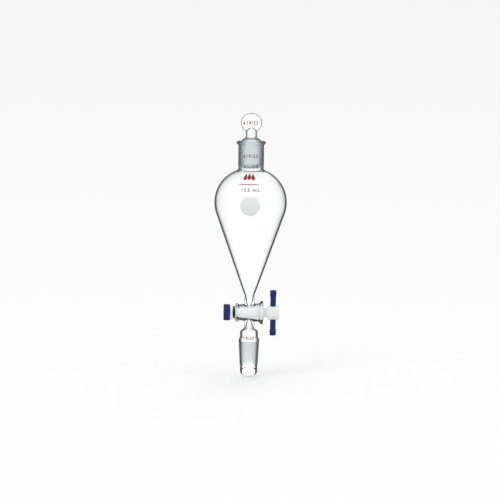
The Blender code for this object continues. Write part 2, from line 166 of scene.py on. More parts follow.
class StopperSizes(bpy.types.PropertyGroup):
    """Sizes of the stopper that its box doesn't give."""

    head_height: length("Head height", "Height of the flat oval head", 0.0176)
    head_thickness: length("Head thickness", "Thickness of the head at its middle", 0.0056)
    head_fullness: share("Head fullness", "2 is an ellipse, and more is flatter faces", 2.9)
    stem_radius: length("Stem radius", "Radius of the round stem", 0.00515)
    stem_top: length("Stem top", "Height of the stem's full width over the cone", 0.0085)
    dome: length("Dome", "Height of the dome between the cone and the stem", 0.0026)
    dome_fullness: share("Dome fullness", "0.5 is a cone, and more is rounder", 0.6)
    cone_length: length("Cone length", "Height of the ground cone", 0.022)
    cone_large: length("Large end", "Radius at the ground cone's large end", 0.009145)
    cone_small: length("Small end", "Radius at the ground cone's small end", 0.008045)
    toe: length("Toe", "Chamfer at the cone's small end", 0.0010)


class StopcockSizes(bpy.types.PropertyGroup):
    """Sizes of the plug, the bar, the seal rings and the nut that their boxes don't give."""

    body_start: length("Body start", "Place of the plug body's small end", -0.0123)
    body_end: length("Body end", "Place of the plug body's large end", 0.0132)
    fit_gap: length("Fit gap", "Gap between the plug and its barrel", 0.0003)
    tail_radius: length("Tail radius", "Radius over the tail's thread", 0.0032)
    thread_pitch: length("Thread pitch", "Distance between the tail's threads", 0.0015)
    thread_depth: length("Thread depth", "Depth of the tail's thread", 0.00045)
    collar_radius: length("Collar radius", "Radius between the body and the hub", 0.0040)
    hub_start: length("Hub start", "Place of the hub's inner face", 0.0165)
    hub_radius: length("Hub radius", "Radius of the hub that holds the bar", 0.00645)
    cross_bore: length("Cross bore", "Radius of the plug's liquid way", 0.0010)
    shaft_radius: length("Bar shaft", "Radius of the bar between its ends", 0.00255)
    bar_end: length("Bar end", "Length of each thicker end of the bar", 0.0060)
    nut_lobes: bpy.props.IntProperty(name="Nut lobes", description="Lobes round the nut", default=12)
    lobe_depth: length("Lobe depth", "Half the depth between the nut's lobes", 0.0004)
    nut_hole: length("Nut hole", "Radius of the nut's threaded hole", 0.0035)
    washer_hole: length("Washer hole", "Radius of the washer's hole", 0.0035)


class MarkSizes(bpy.types.PropertyGroup):
    """Sizes and places of the enamel marks on the front."""

    thickness: length("Enamel thickness", "Thickness of a mark", 0.00006)
    lift: length("Lift", "Gap between a mark and the glass, so that neither shows through", 0.00004)
    drops_height: length("Drops height", "Height of the middle of the drops", 0.1540)
    drops_aside: length("Drops aside", "Place of the middle drop across", -0.0013)
    drop_pitch: length("Drop pitch", "Distance between the drops", 0.0032)
    drop_fall: length("Drop fall", "How much lower the outer drops are", 0.0004)
    drop_size: length("Drop size", "Height of each drop", 0.0095)
    drop_width: length("Drop width", "Width of each drop", 0.0034)
    small_drop_size: length("Small drop size", "Height of a drop by a joint size", 0.0030)
    small_drop_width: length("Small drop width", "Width of a drop by a joint size", 0.0016)
    small_drop_aside: length("Small drop aside", "Place of that drop across", -0.0066)
    line_height: length("Line height", "Height of the plain line", 0.1468)
    line_aside: length("Line aside", "Place of the plain line across", -0.0014)
    line_length: length("Line length", "Length of the plain line", 0.0190)
    line_width: length("Line width", "Width of the plain line", 0.0006)
    capacity_height: length("Capacity height", "Height of the capacity's middle", 0.1424)
    spot_height: length("Spot height", "Height of the writing spot's middle", 0.1281)
    spot_aside: length("Spot aside", "Place of the writing spot across", -0.0004)
    spot_radius: length("Spot radius", "Radius of the writing spot", 0.0090)
    neck_height: length("Neck size height", "Height of the joint size on the neck", 0.1716)
    size_aside: length("Joint size aside", "Place of a joint size beside its drop", 0.0010)
    joint_height: length("Joint size height", "Height of the joint size on the lower tube", 0.0035)
    letter_size: length("Letter size", "Height of a line of letters", 0.0042)
    letter_weight: length("Letter weight", "How much bolder the letters are", 0.0001)


class FinishColors(bpy.types.PropertyGroup):
    """Colours of the finishes, and two painted shades of the glass."""

    glass: color("Glass", "Clear borosilicate glass", (0.985, 0.995, 0.992))
    ground_glass: color("Ground glass", "Ground zones of the joints", (0.88, 0.92, 0.95))
    # Painted shade: the open ground cone is the same ground glass as the socket, in a darker colour.
    ground_cone_painted_shade: color("Ground cone", "The open ground cone", (0.49, 0.52, 0.53))
    # Painted shade: the dark colour that the glass takes towards its edges, in place of the dark
    # surroundings that the edges refract.
    painted_edge_shade: color("Glass edge", "Thick glass seen edge on", (0.08, 0.09, 0.09))
    ptfe: color("PTFE", "White PTFE", (0.90, 0.90, 0.91))
    blue_plastic: color("Blue plastic", "The bar and the nut", (0.012, 0.028, 0.190))
    rubber: color("Rubber", "The O-ring", (0.018, 0.018, 0.019))
    red_enamel: color("Red enamel", "Drops, line and lettering", (0.30, 0.012, 0.020))
    white_enamel: color("White enamel", "The writing spot", (0.98, 0.98, 0.98))


class StudioSettings(bpy.types.PropertyGroup):
    """Camera, floor and light."""

    elevation: angle("Elevation", "How far the camera looks down", 7.0)
    roll: angle("Roll", "Turn of the camera about its view", 0.7)
    distance: length("Distance", "From the camera to the funnel", 2.0)
    field: length("Field", "Width that the camera sees at the funnel", 0.46)
    aim_height: length("Aim height", "Height that the camera looks at", 0.0842)
    floor_radius: length("Floor radius", "Radius of the floor", 0.34)
    floor_color: color("Floor colour", "The pale floor", (0.90, 0.90, 0.90))


# ---------------------------------------------------------------- shader writing


class Value:
    """A number on a shader socket. Its operators add Math nodes."""

    def __init__(self, tree, socket):
        self.tree = tree
        self.socket = socket

    def math(self, operation, *others):
        inputs = dict(enumerate((self, *others)))
        return self.tree.add("ShaderNodeMath", {"operation": operation}, inputs).out(0)

    def __add__(self, other):
        return self.math("ADD", other)

    __radd__ = __add__

    def __mul__(self, other):
        return self.math("MULTIPLY", other)

    __rmul__ = __mul__

    def __sub__(self, other):
        return self.math("SUBTRACT", other)

    def __rsub__(self, other):
        return (self * -1.0) + other

    def at_least(self, other):
        return self.math("MAXIMUM", other)

    def at_most(self, other):
        return self.math("MINIMUM", other)

    def sine(self):
        return self.math("SINE")

    def above(self, limit):
        return self.math("GREATER_THAN", limit)

    def ramp(self, low, high, to_low=0.0, to_high=1.0):
        """Runs smoothly from one value to another as this value goes from low to high."""
        settings = {"interpolation_type": "SMOOTHSTEP"}
        inputs = {"Value": self, "From Min": low, "From Max": high}
        inputs.update({"To Min": to_low, "To Max": to_high})
        return self.tree.add("ShaderNodeMapRange", settings, inputs).out("Result")

    def between(self, low, high, edge):
        """1 between two limits and 0 outside them, with a soft edge."""
        return self.ramp(low - edge, low + edge) * (1.0 - self.ramp(high - edge, high + edge))


class Node:
    """A shader node whose outputs are read as values."""

    def __init__(self, tree, node):
        self.tree = tree
        self.node = node

    def out(self, name):
        return Value(self.tree, self.node.outputs[name])


class Tree:
    """A node tree that is written with one method for every kind of node."""

    def __init__(self, owner):
        owner.use_nodes = True
        self.nodes = owner.node_tree.nodes
        self.links = owner.node_tree.links
        self.nodes.clear()

    def add(self, kind, settings=None, inputs=None):
        """Adds a node: its settings first, then the values or links of its sockets."""
        node = self.nodes.new(kind)
        for name, value in (settings or {}).items():
            setattr(node, name, value)
        for name, value in (inputs or {}).items():
            if isinstance(value, Value):
                self.links.new(value.socket, node.inputs[name])
            else:
                node.inputs[name].default_value = value
        return Node(self, node)

    def place(self):
        """Object coordinates."""
        return self.add("ShaderNodeTexCoord").out("Object")

    def axes(self, vector):
        """A vector's x, y and z."""
        parts = self.add("ShaderNodeSeparateXYZ", inputs={"Vector": vector})
        return parts.out("X"), parts.out("Y"), parts.out("Z")

    def noise(self, vector, scale, detail=2.0, roughness=0.5):
        inputs = {"Vector": vector, "Scale": scale, "Detail": detail, "Roughness": roughness}
        return self.add("ShaderNodeTexNoise", None, inputs).out("Fac")

    def mix_color(self, factor, first, second):
        settings = {"data_type": "RGBA"}
        node = self.add("ShaderNodeMix", settings, {0: factor, 6: first, 7: second})
        return node.out(2)

    def surface(self, shade, roughness, height, **constants):
        """A Principled surface with a bump in metres. The constants are named like its sockets,
        with an underscore for each space."""
        relief = {"Height": height, "Distance": 1.0, "Strength": 1.0}
        normal = self.add("ShaderNodeBump", None, relief).out("Normal")
        inputs = {"Base Color": shade, "Roughness": roughness, "Normal": normal}
        inputs.update({name.replace("_", " "): value for name, value in constants.items()})
        shader = self.add("ShaderNodeBsdfPrincipled", None, inputs)
        self.add("ShaderNodeOutputMaterial", None, {"Surface": shader.out("BSDF")})


def opaque(rgb, gain=1.0):
    """A colour with its alpha, made lighter or darker by a gain."""
    return tuple(min(1.0, channel * gain) for channel in rgb) + (1.0,)


def new_material(name):
    """An empty material and the tree to write it in. The frame has materials of its own, and a
    name that one of them holds would later give back the frame's."""
    if name in bpy.data.materials:
        raise ValueError(f"the name {name} is taken")
    material = bpy.data.materials.new(name)
    return material, Tree(material)


def distance_from_axis(x, y):
    """Square root of x squared plus y squared, on values."""
    return (x * x + y * y).math("SQRT")


def glass_material(name, colors, ground_zone, thick_top, edge_shade_start):
    """Clear glass with faint ripples from the flame, and frosted where it is ground. ground_zone
    turns the distance from the axis and the height into a mask. Under thick_top the glass is thick,
    and there a painted shade darkens its colour towards its edges, from a share of the way to
    grazing: it stands in for the dark surroundings that thick glass refracts at its edges."""
    material, tree = new_material(name)
    coordinates = tree.place()
    x, y, z = tree.axes(coordinates)
    mask = ground_zone(distance_from_axis(x, y), z)
    ripple = tree.noise(coordinates, 55.0, 1.0)
    grain = tree.noise(coordinates, 5200.0, 3.0, 0.7)
    scratch = tree.noise(coordinates, 900.0, 2.0)
    # Painted shade: under thick_top, the clear glass's colour goes to the dark edge colour towards
    # grazing.
    facing = tree.add("ShaderNodeLayerWeight").out("Facing")
    thick = 1.0 - z.ramp(thick_top - 0.002, thick_top + 0.002)
    edge = facing.ramp(edge_shade_start, edge_shade_start + 0.4) * thick
    clear_color = tree.mix_color(edge, opaque(colors.glass), opaque(colors.painted_edge_shade))
    # Painted shade: on the open lower cone, where cone is 1, the ground glass takes its darker
    # colour. The cone also gets a little more roughness.
    cone = 1.0 - z.ramp(0.0, 0.01)
    ground = tree.mix_color(cone, opaque(colors.ground_glass), opaque(colors.ground_cone_painted_shade))
    worn = tree.mix_color(cone, opaque(colors.ground_glass, 0.97), opaque(colors.ground_cone_painted_shade, 0.97))
    ground_color = tree.mix_color(scratch.ramp(0.35, 0.65), worn, ground)
    frosting = mask * (0.30 + cone * 0.07 + grain * 0.10 + scratch * 0.06)
    height = ripple * 0.00006 + mask * grain * 0.00002
    shade = tree.mix_color(mask, clear_color, ground_color)
    tree.surface(shade, frosting, height, IOR=1.473, Transmission_Weight=1.0)
    return material


def ptfe_material(colors):
    """Waxy white PTFE with the fine rings that a lathe leaves along X."""
    material, tree = new_material("turned_ptfe")
    coordinates = tree.place()
    along = tree.axes(coordinates)[0]
    cloud = tree.noise(coordinates, 260.0, 3.0)
    wobble = tree.noise(coordinates, 120.0, 1.0) * 2.0
    ring_spacing = 0.00035
    rings = (along * (ROUND / ring_spacing) + wobble).sine()
    scuffs = tree.noise(coordinates, 1500.0, 2.0, 0.6)
    shade = tree.mix_color(cloud.ramp(0.3, 0.7), opaque(colors.ptfe, 0.965), opaque(colors.ptfe))
    tree.surface(
        shade,
        0.36 + cloud * 0.12 + scuffs * 0.10,
        rings * 0.000003 + scuffs * 0.00001,
        IOR=1.35,
        Subsurface_Weight=0.12,
        Subsurface_Radius=(0.002, 0.002, 0.002),
        Subsurface_Scale=1.0,
    )
    return material


def plastic_material(colors):
    """Moulded blue plastic: a fine spark-eroded grain, faint flow marks and rubbed high spots."""
    material, tree = new_material("moulded_plastic")
    coordinates = tree.place()
    grain = tree.noise(coordinates, 3800.0, 2.0, 0.6)
    flow = tree.noise(coordinates, 180.0, 3.0)
    rubbed = tree.noise(coordinates, 620.0, 2.0).ramp(0.52, 0.74)
    shade = tree.mix_color(
        flow.ramp(0.3, 0.7), opaque(colors.blue_plastic, 0.82), opaque(colors.blue_plastic, 1.12)
    )
    roughness = 0.30 + grain * 0.14 - rubbed * 0.07
    tree.surface(shade, roughness, grain * 0.000012 + flow * 0.00002, IOR=1.49)
    return material


def rubber_material(colors):
    """Black rubber, matt, with a dusty bloom in its pores."""
    material, tree = new_material("ring_rubber")
    coordinates = tree.place()
    pores = tree.noise(coordinates, 4200.0, 3.0, 0.65)
    bloom = tree.noise(coordinates, 700.0, 2.0).ramp(0.45, 0.75)
    shade = tree.mix_color(bloom, opaque(colors.rubber), opaque(colors.rubber, 1.8))
    tree.surface(shade, 0.48 + pores * 0.2, pores * 0.00002)
    return material


def enamel_material(name, rgb, paleness):
    """Fired enamel: thin and a little uneven. Where less of it took, it goes towards a pale grey
    by a share, its paleness."""
    material, tree = new_material(name)
    coordinates = tree.place()
    print_noise = tree.noise(coordinates, 2600.0, 3.0, 0.65)
    wear = tree.noise(coordinates, 420.0, 2.0).ramp(0.4, 0.8)
    worn = tuple(channel + (0.8 - channel) * paleness for channel in rgb)
    shade = tree.mix_color(wear * print_noise, opaque(rgb), opaque(worn))
    tree.surface(shade, 0.38 + print_noise * 0.2, print_noise * 0.00001)
    return material


# ---------------------------------------------------------------- surface arithmetic


def fill(path, spacing):
    """Adds points along each straight run of a (radius, height) path, evenly, so that no run is
    longer than the spacing."""
    path = np.asarray(path, float)
    runs = np.linalg.norm(np.diff(path, axis=0), axis=1)
    counts = np.maximum(1, np.ceil(runs / spacing)).astype(int)
    owner = np.repeat(np.arange(len(runs)), counts)
    first = np.repeat(np.cumsum(counts) - counts, counts)
    along = (np.arange(len(owner)) - first) / counts[owner]
    points = path[owner] + along[:, None] * (path[owner + 1] - path[owner])
    return np.vstack([points, path[-1:]])


def arc(centre, radius, start, end, count):
    """Points centre + radius (cos a, sin a), for a from start to end."""
    angles = np.linspace(start, end, count + 1)
    return np.array(centre) + radius * np.stack([np.cos(angles), np.sin(angles)], axis=1)


def rounded(points, radii, steps=6):
    """A path whose inner corners are replaced with arcs. An arc of radius r at a corner of half
    angle h starts r / tan h from the corner, about a centre r / sin h away on the bisector."""
    points = np.asarray(points, float)
    pieces = [points[:1]]
    for before, corner, after, radius in zip(points, points[1:], points[2:], radii):
        back = (before - corner) / np.linalg.norm(before - corner)
        onward = (after - corner) / np.linalg.norm(after - corner)
        half = math.acos(np.clip(back @ onward, -1.0, 1.0)) / 2
        bisector = (back + onward) / np.linalg.norm(back + onward)
        centre = corner + bisector * radius / math.sin(half)
        first = corner + back * radius / math.tan(half) - centre
        last = corner + onward * radius / math.tan(half) - centre
        turn = math.pi - 2 * half
        share_of_turn = np.linspace(0.0, 1.0, steps + 1)[:, None]
        swept = np.sin((1 - share_of_turn) * turn) * first + np.sin(share_of_turn * turn) * last
        pieces.append(centre + swept / math.sin(turn))
    pieces.append(points[-1:])
    return np.vstack(pieces)


def chain(*paths):
    """Paths joined end to end, without the points that two of them share."""
    joined = np.vstack(paths)
    steps = np.linalg.norm(np.diff(joined, axis=0), axis=1)
    return joined[np.append(True, steps > WELD)]


def around(columns=COLUMNS):
    """Even angles round a circle, starting at +X."""
    return np.arange(columns) * ROUND / columns


def turned(path, columns=COLUMNS):
    """A (radius, height) path turned about Z: (r cos a, r sin a, h) for each point and angle."""
    angles = around(columns)
    radius, height = path[:, :1], path[:, 1:]
    shape = (len(path), columns)
    x, y = radius * np.cos(angles), radius * np.sin(angles)
    return np.stack([x, y, np.broadcast_to(height, shape)], axis=-1)


def along_stopcock(points):
    """Turns (x, y, height) points so that heights run along the stopcock's axis, towards +X."""
    x, y, height = np.moveaxis(points, -1, 0)
    return np.stack([height, x, y], axis=-1) + STOPCOCK_CENTRE


def grid_faces(rows, columns, ring=False, keep=None):
    """Quads between neighbouring rows and columns of a grid that closes round its columns, and
    round its rows if it is a ring. keep is a mask of the cells that stay."""
    row = np.arange(rows if ring else rows - 1)[:, None]
    column = np.arange(columns)[None, :]
    next_row, next_column = (row + 1) % rows, (column + 1) % columns
    corners = [(row, column), (row, next_column), (next_row, next_column), (next_row, column)]
    quads = np.stack([r * columns + c for r, c in corners], axis=-1)
    return quads.reshape(-1, 4) if keep is None else quads[keep]


class Shell:
    """Grids gathered into one closed mesh."""

    def __init__(self):
        self.points = []
        self.faces = []
        self.count = 0

    def add(self, grid, ring=False, keep=None):
        rows, columns = grid.shape[:2]
        self.points.append(grid.reshape(-1, 3))
        self.faces.append(grid_faces(rows, columns, ring, keep) + self.count)
        self.count += rows * columns
        return self

    def mesh(self, name):
        mesh = bpy.data.meshes.new(name)
        points, faces = np.vstack(self.points), np.vstack(self.faces)
        mesh.from_pydata(points.tolist(), [], faces.tolist())
        return tidy(mesh)


def tidy(mesh):
    """Welds a mesh's doubles, points its faces outwards and shades it smooth."""
    work = bmesh.new()
    work.from_mesh(mesh)
    bmesh.ops.remove_doubles(work, verts=work.verts, dist=WELD)
    bmesh.ops.dissolve_degenerate(work, edges=work.edges, dist=WELD / 10)
    bmesh.ops.recalc_face_normals(work, faces=work.faces)
    work.to_mesh(mesh)
    work.free()
    mesh.polygons.foreach_set("use_smooth", np.ones(len(mesh.polygons), bool))
    mesh.update()
    return mesh


def new_piece(name, mesh, material):
    """An object at the origin that shows a mesh in one material."""
    piece = bpy.data.objects.new(name, mesh)
    bpy.context.scene.collection.objects.link(piece)
    mesh.materials.clear()
    mesh.materials.append(material)
    return piece


def cut(piece, cutters):
    """Takes the cutters' closed meshes out of a piece's mesh."""
    tools = [new_piece(tool.name, tool, piece.data.materials[0]) for tool in cutters]
    for tool in tools:
        boolean = piece.modifiers.new(tool.name, "BOOLEAN")
        boolean.operation = "DIFFERENCE"
        boolean.solver = "EXACT"
        boolean.object = tool
    bpy.context.view_layer.update()
    graph = bpy.context.evaluated_depsgraph_get()
    finished = bpy.data.meshes.new_from_object(piece.evaluated_get(graph))
    piece.modifiers.clear()
    piece.data = finished
    for tool in tools:
        bpy.data.objects.remove(tool)


def sharp_edges(piece, degrees):
    """Shades edges sharper than an angle as edges."""
    piece.data.set_sharp_from_angle(angle=math.radians(degrees))


# ---------------------------------------------------------------- the fused vessel


def bulb_centre(sizes):
    """Height of the centre of the sphere that lies tangent on the bulb's cone: the cone's height
    up to the tangent circle, and then the sphere's sine of the half angle."""
    radius, half = BULB_HIGH.x, sizes.cone_angle
    cone_height = (radius * math.cos(half) - sizes.foot_radius) / math.tan(half)
    return BULB_LOW.z + cone_height + radius * math.sin(half)


def cone_line(sizes, height, wall=0.0):
    """Radius of the bulb's cone at a height, less a wall measured square to the cone."""
    half = sizes.cone_angle
    return sizes.foot_radius + (height - BULB_LOW.z) * math.tan(half) - wall / math.cos(half)


def bulb_outside(sizes):
    """The bulb's outer path: the arm, the flame-sealed waist, the cone, the sphere to its widest
    circle, the tighter crown, and the fillet up to the neck. The fillet's centre lies the sum of
    both radii from the crown's."""
    centre, radius, half = bulb_centre(sizes), BULB_HIGH.x, sizes.cone_angle
    low, start = BULB_LOW.z, STOPCOCK_HEIGHT + arm_ring(sizes)
    tangent = (radius * math.cos(half), centre - radius * math.sin(half))
    foot = [
        (sizes.upper_arm, start),
        (sizes.upper_arm, low - 0.0030),
        (sizes.arm_waist, low - 0.0008),
        (cone_line(sizes, low + 0.0012), low + 0.0012),
        tangent,
    ]
    sphere = arc((0.0, centre), radius, -half, 0.0, 14)
    bend, place = sizes.neck_fillet, sizes.neck_waist + sizes.neck_fillet
    top = math.atan2(BULB_HIGH.z - centre, place - sizes.crown_step)
    crown = arc((sizes.crown_step, centre), radius - sizes.crown_step, 0.0, top, 42)
    fillet = arc((place, BULB_HIGH.z), bend, math.pi + top, math.pi, 10)
    return chain(fill(rounded(foot, (0.0016, 0.0009, 0.0024)), 0.0016), sphere, crown, fillet)


def neck_outside(sizes):
    """The neck's outer path: the seal, the flare, the wall, and the bead of the rim."""
    radius, rim = sizes.neck_radius, NECK_HIGH.z
    bead = sizes.bead_radius
    lip = NECK_HIGH.x
    points = [
        (sizes.neck_waist, BULB_HIGH.z),
        (sizes.neck_waist, NECK_LOW.z),
        (radius, NECK_LOW.z + 0.0020),
        (radius, rim - 2 * bead - 0.0001),
        (lip, rim - 2 * bead - 0.0001),
        (lip, rim),
        (JOINT_HIGH.x + sizes.lead_width, rim),
    ]
    return fill(rounded(points, (0.0006, 0.0016, 0.0004, bead, bead)), 0.0012)


def socket_inside(sizes):
    """From the rim down the ground socket and the throat to the inside of the bulb's crown."""
    radius, rim = JOINT_HIGH.x, NECK_HIGH.z
    inner = BULB_HIGH.x - sizes.crown_step - sizes.bulb_wall
    throat = sizes.throat_radius
    shoulder = bulb_centre(sizes) + math.sqrt(inner**2 - (throat - sizes.crown_step) ** 2)
    points = [
        (radius + sizes.lead_width, rim),
        (radius, rim - sizes.lead),
        (sizes.joint_small, rim - sizes.lead - sizes.joint_length),
        (throat, NECK_LOW.z),
        (throat, shoulder),
    ]
    return fill(rounded(points, (0.0004, 0.0003, 0.0006)), 0.0012)


def bulb_inside(sizes):
    """The bulb's inner path from its throat down the crown, the sphere and the cone."""
    inner, half = BULB_HIGH.x - sizes.bulb_wall, sizes.cone_angle
    step, centre = sizes.crown_step, bulb_centre(sizes)
    top = math.acos((sizes.throat_radius - step) / (inner - step))
    crown = arc((step, centre), inner - step, top, 0.0, 42)
    sphere = arc((0.0, centre), inner, 0.0, -half, 14)
    foot = BULB_LOW.z + 0.0006
    cone = fill([sphere[-1], (cone_line(sizes, foot, sizes.bulb_wall), foot)], 0.0020)
    return chain(crown, sphere, cone)


def arm_ring(sizes):
    """Height over the stopcock's axis where an arm has left its fillet."""
    return (sizes.barrel_small + sizes.barrel_large) / 2 + 2 * sizes.fillet - 0.0010


def bore_radius(sizes, x):
    """Radius of the plug's tapered bore at a place along X."""
    return sizes.bore_middle + x * sizes.bore_taper


def mouth_of_way(sizes, side):
    """Where a liquid way opens into the plug's bore: a circle of the way's radius, dropped along
    Z onto the tapered bore. side is 1 above the plug and -1 below it."""
    angles = around()
    x, y = sizes.way_radius * np.cos(angles), sizes.way_radius * np.sin(angles)
    height = side * np.sqrt(bore_radius(sizes, x) ** 2 - y**2)
    return np.stack([x, y, height], axis=-1) + STOPCOCK_CENTRE


def upper_skin(sizes):
    """The upper arm, the bulb and the neck, outside and inside, down to the plug's bore."""
    foot = (cone_line(sizes, BULB_LOW.z + 0.0006, sizes.bulb_wall), BULB_LOW.z + 0.0006)
    start = STOPCOCK_HEIGHT + sizes.bore_middle + 0.0006
    way = rounded([foot, (sizes.upper_way, BULB_LOW.z - 0.0020), (sizes.way_radius, start)], (0.004,))
    path = chain(
        bulb_outside(sizes),
        neck_outside(sizes),
        socket_inside(sizes),
        bulb_inside(sizes),
        fill(way, 0.0012),
    )
    return np.concatenate([turned(path), mouth_of_way(sizes, 1)[None]])


def tube_outside(sizes):
    """From the lower arm down its seal, the shoulder, the tube, the flare and the ground cone."""
    arm, tube = sizes.lower_arm, sizes.tube_radius
    seal, top = JOINT_HIGH.z, sizes.tube_top
    points = [
        (arm, STOPCOCK_HEIGHT - arm_ring(sizes)),
        (arm, seal + 0.0016),
        (arm - 0.0004, seal + 0.0002),
        (arm, seal - 0.0008),
        (tube, top + 0.0012),
        (tube, sizes.flare),
        (JOINT_HIGH.x, sizes.land),
        (JOINT_HIGH.x, 0.0),
        (sizes.joint_small, -sizes.joint_length),
        (sizes.tip_radius, -sizes.joint_length - sizes.tip_step),
    ]
    radii = (0.0012, 0.0006, 0.0007, 0.0026, 0.0016, 0.0008, 0.0004, 0.0003)
    return fill(rounded(points, radii), 0.0011)


def tube_inside(sizes):
    """From the drip tip's bore up the joint and the tube to the lower liquid way."""
    wall, top = sizes.joint_wall, sizes.tube_top
    foot = -sizes.joint_length
    points = [
        (sizes.tip_radius - wall, foot - 2 * sizes.tip_step),
        (sizes.joint_small - wall, foot),
        (JOINT_HIGH.x - wall, 0.0),
        (JOINT_HIGH.x - wall, sizes.land),
        (sizes.tube_radius - wall, sizes.flare),
        (sizes.tube_radius - wall, top + 0.0006),
        (sizes.lower_way, JOINT_HIGH.z - 0.0014),
        (sizes.way_radius, STOPCOCK_HEIGHT - sizes.bore_middle - 0.0006),
    ]
    return fill(rounded(points, (0.0012, 0.0030, 0.0008, 0.0016, 0.0018, 0.0024)), 0.0011)


def slanted(sizes, radius, lift):
    """The slanted end of the drip tip: a plane that falls towards +Y, raised by a lift. radius
    and lift are columns, and the result has a row for each of them."""
    middle = JOINT_LOW.z + sizes.tip_slant / 2
    slope = sizes.tip_slant / (2 * sizes.tip_radius)
    return middle - slope * radius * np.sin(around()) + lift


def drip_tip(sizes):
    """The tip below the ground zone: straight walls down to a fire-polished, slanted lip."""
    outer, inner = sizes.tip_radius, sizes.tip_radius - sizes.joint_wall
    polish = 0.00035
    start = -sizes.joint_length - sizes.tip_step
    inner_start = start - sizes.tip_step
    rows = 12
    share_down = np.linspace(0.0, 1.0, rows)[:, None]
    lip = np.array([[polish]])
    lip_path = rounded(
        [(outer, polish), (outer, 0.0), (inner, 0.0), (inner, polish)], (polish * 0.98,) * 2
    )
    outer_heights = start + share_down * (slanted(sizes, outer, lip) - start)
    lip_heights = slanted(sizes, lip_path[:, :1], lip_path[:, 1:])
    inner_low = slanted(sizes, inner, lip)
    inner_heights = inner_low + share_down * (inner_start - inner_low)
    walls = [np.full((rows, 1), wall) for wall in (outer, inner)]
    radius = np.concatenate([walls[0], lip_path[:, :1], walls[1]])
    heights = np.concatenate([outer_heights, lip_heights, inner_heights])
    angles = around()
    return np.stack([radius * np.cos(angles), radius * np.sin(angles), heights], axis=-1)


def lower_skin(sizes):
    """The lower arm, the tube, the joint and the tip, outside and inside, up to the bore."""
    return np.concatenate(
        [
            turned(tube_outside(sizes)),
            drip_tip(sizes),
            turned(tube_inside(sizes)),
            mouth_of_way(sizes, -1)[None],
        ]
    )


def barrel_radius(sizes, x):
    """Outer radius of the barrel between its beads at a place along X, and its growth along X,
    which is even."""
    middle = (sizes.barrel_small + sizes.barrel_large) / 2
    slope = (sizes.barrel_large - sizes.barrel_small) / (2 * (BARREL_HIGH.x - 0.0033))
    return middle + x * slope, slope


OUTER_WINDOW = (0.0066, 24, 20)  # half length along X, cells along X, cells to each side
BORE_WINDOW = (0.0040, 20, 22)


def barrel_grid(sizes):
    """The barrel's closed section, turned about the stopcock's axis, and the rows where its two
    windows lie. The section runs along the outside to +X and back through the bore."""
    end = BARREL_HIGH.x

    def bore(x):
        return bore_radius(sizes, x)

    small, large = sizes.barrel_small, sizes.barrel_large
    window, cells, _ = OUTER_WINDOW
    bore_window, bore_cells, _ = BORE_WINDOW
    small_bead = [
        (bore(-end) + 0.0008, -end),
        (small + sizes.small_bead, -end),
        (small + sizes.small_bead, 0.0021 - end),
        (small, 0.0033 - end),
        (barrel_radius(sizes, -window)[0], -window),
    ]
    large_bead = [
        (barrel_radius(sizes, window)[0], window),
        (large, end - 0.0036),
        (large + sizes.large_bead, end - 0.0022),
        (large + sizes.large_bead, end),
        (bore(end) + 0.0008, end),
    ]
    outside = np.linspace(-window, window, cells + 1)
    inside = np.linspace(bore_window, -bore_window, bore_cells + 1)
    mouth, far_mouth = (bore(end), end - 0.0004), (bore(-end), 0.0004 - end)
    to_bore = rounded([large_bead[-1], (bore(end), end), mouth], (0.00035,))
    from_bore = rounded([far_mouth, (bore(-end), -end), small_bead[0]], (0.00035,))
    parts = [
        fill(rounded(small_bead, (0.00104, 0.00104, 0.0012)), 0.0009)[:-1],
        np.stack([barrel_radius(sizes, outside)[0], outside], axis=1),
        fill(rounded(large_bead, (0.0012, 0.00104, 0.00104)), 0.0009)[1:-1],
        to_bore[:-1],
        fill([mouth, (bore(bore_window), bore_window)], 0.0012)[:-1],
        np.stack([bore(inside), inside], axis=1),
        fill([(bore(-bore_window), -bore_window), far_mouth], 0.0012)[1:-1],
        from_bore[:-1],
    ]
    starts = np.cumsum([0] + [len(part) for part in parts])
    outer_rows = (starts[1] + cells, starts[1])
    bore_rows = (starts[5], starts[5] + bore_cells)
    return along_stopcock(turned(np.vstack(parts))), outer_rows, bore_rows


def window_loop(rows, middle, reach, turn):
    """Row and column numbers round a window's edge. It starts at the middle of the +X side and
    goes towards +Y, which is down the column numbers above the axis and up them below it."""
    plus, minus = rows
    step = 1 if minus > plus else -1
    along = np.arange(plus, minus, step)
    side = turn * np.arange(reach)
    full = turn * np.arange(2 * reach)
    corner = middle + turn * reach
    other = middle - turn * reach
    row = np.concatenate(
        [
            np.full(reach, plus),
            along,
            np.full(2 * reach, minus),
            along[::-1] + step,
            np.full(reach, plus),
        ]
    )
    column = np.concatenate(
        [
            middle + side,
            np.full(len(along), corner),
            corner - full,
            np.full(len(along), other),
            other + side,
        ]
    )
    return row, column % COLUMNS


def window_cells(shape, rows, middle, reach):
    """A mask of the grid's cells inside a window."""
    row, column = np.arange(shape[0])[:, None], np.arange(shape[1])[None, :]
    across = (column - middle + reach) % COLUMNS < 2 * reach
    return (row >= min(rows)) & (row < max(rows)) & across


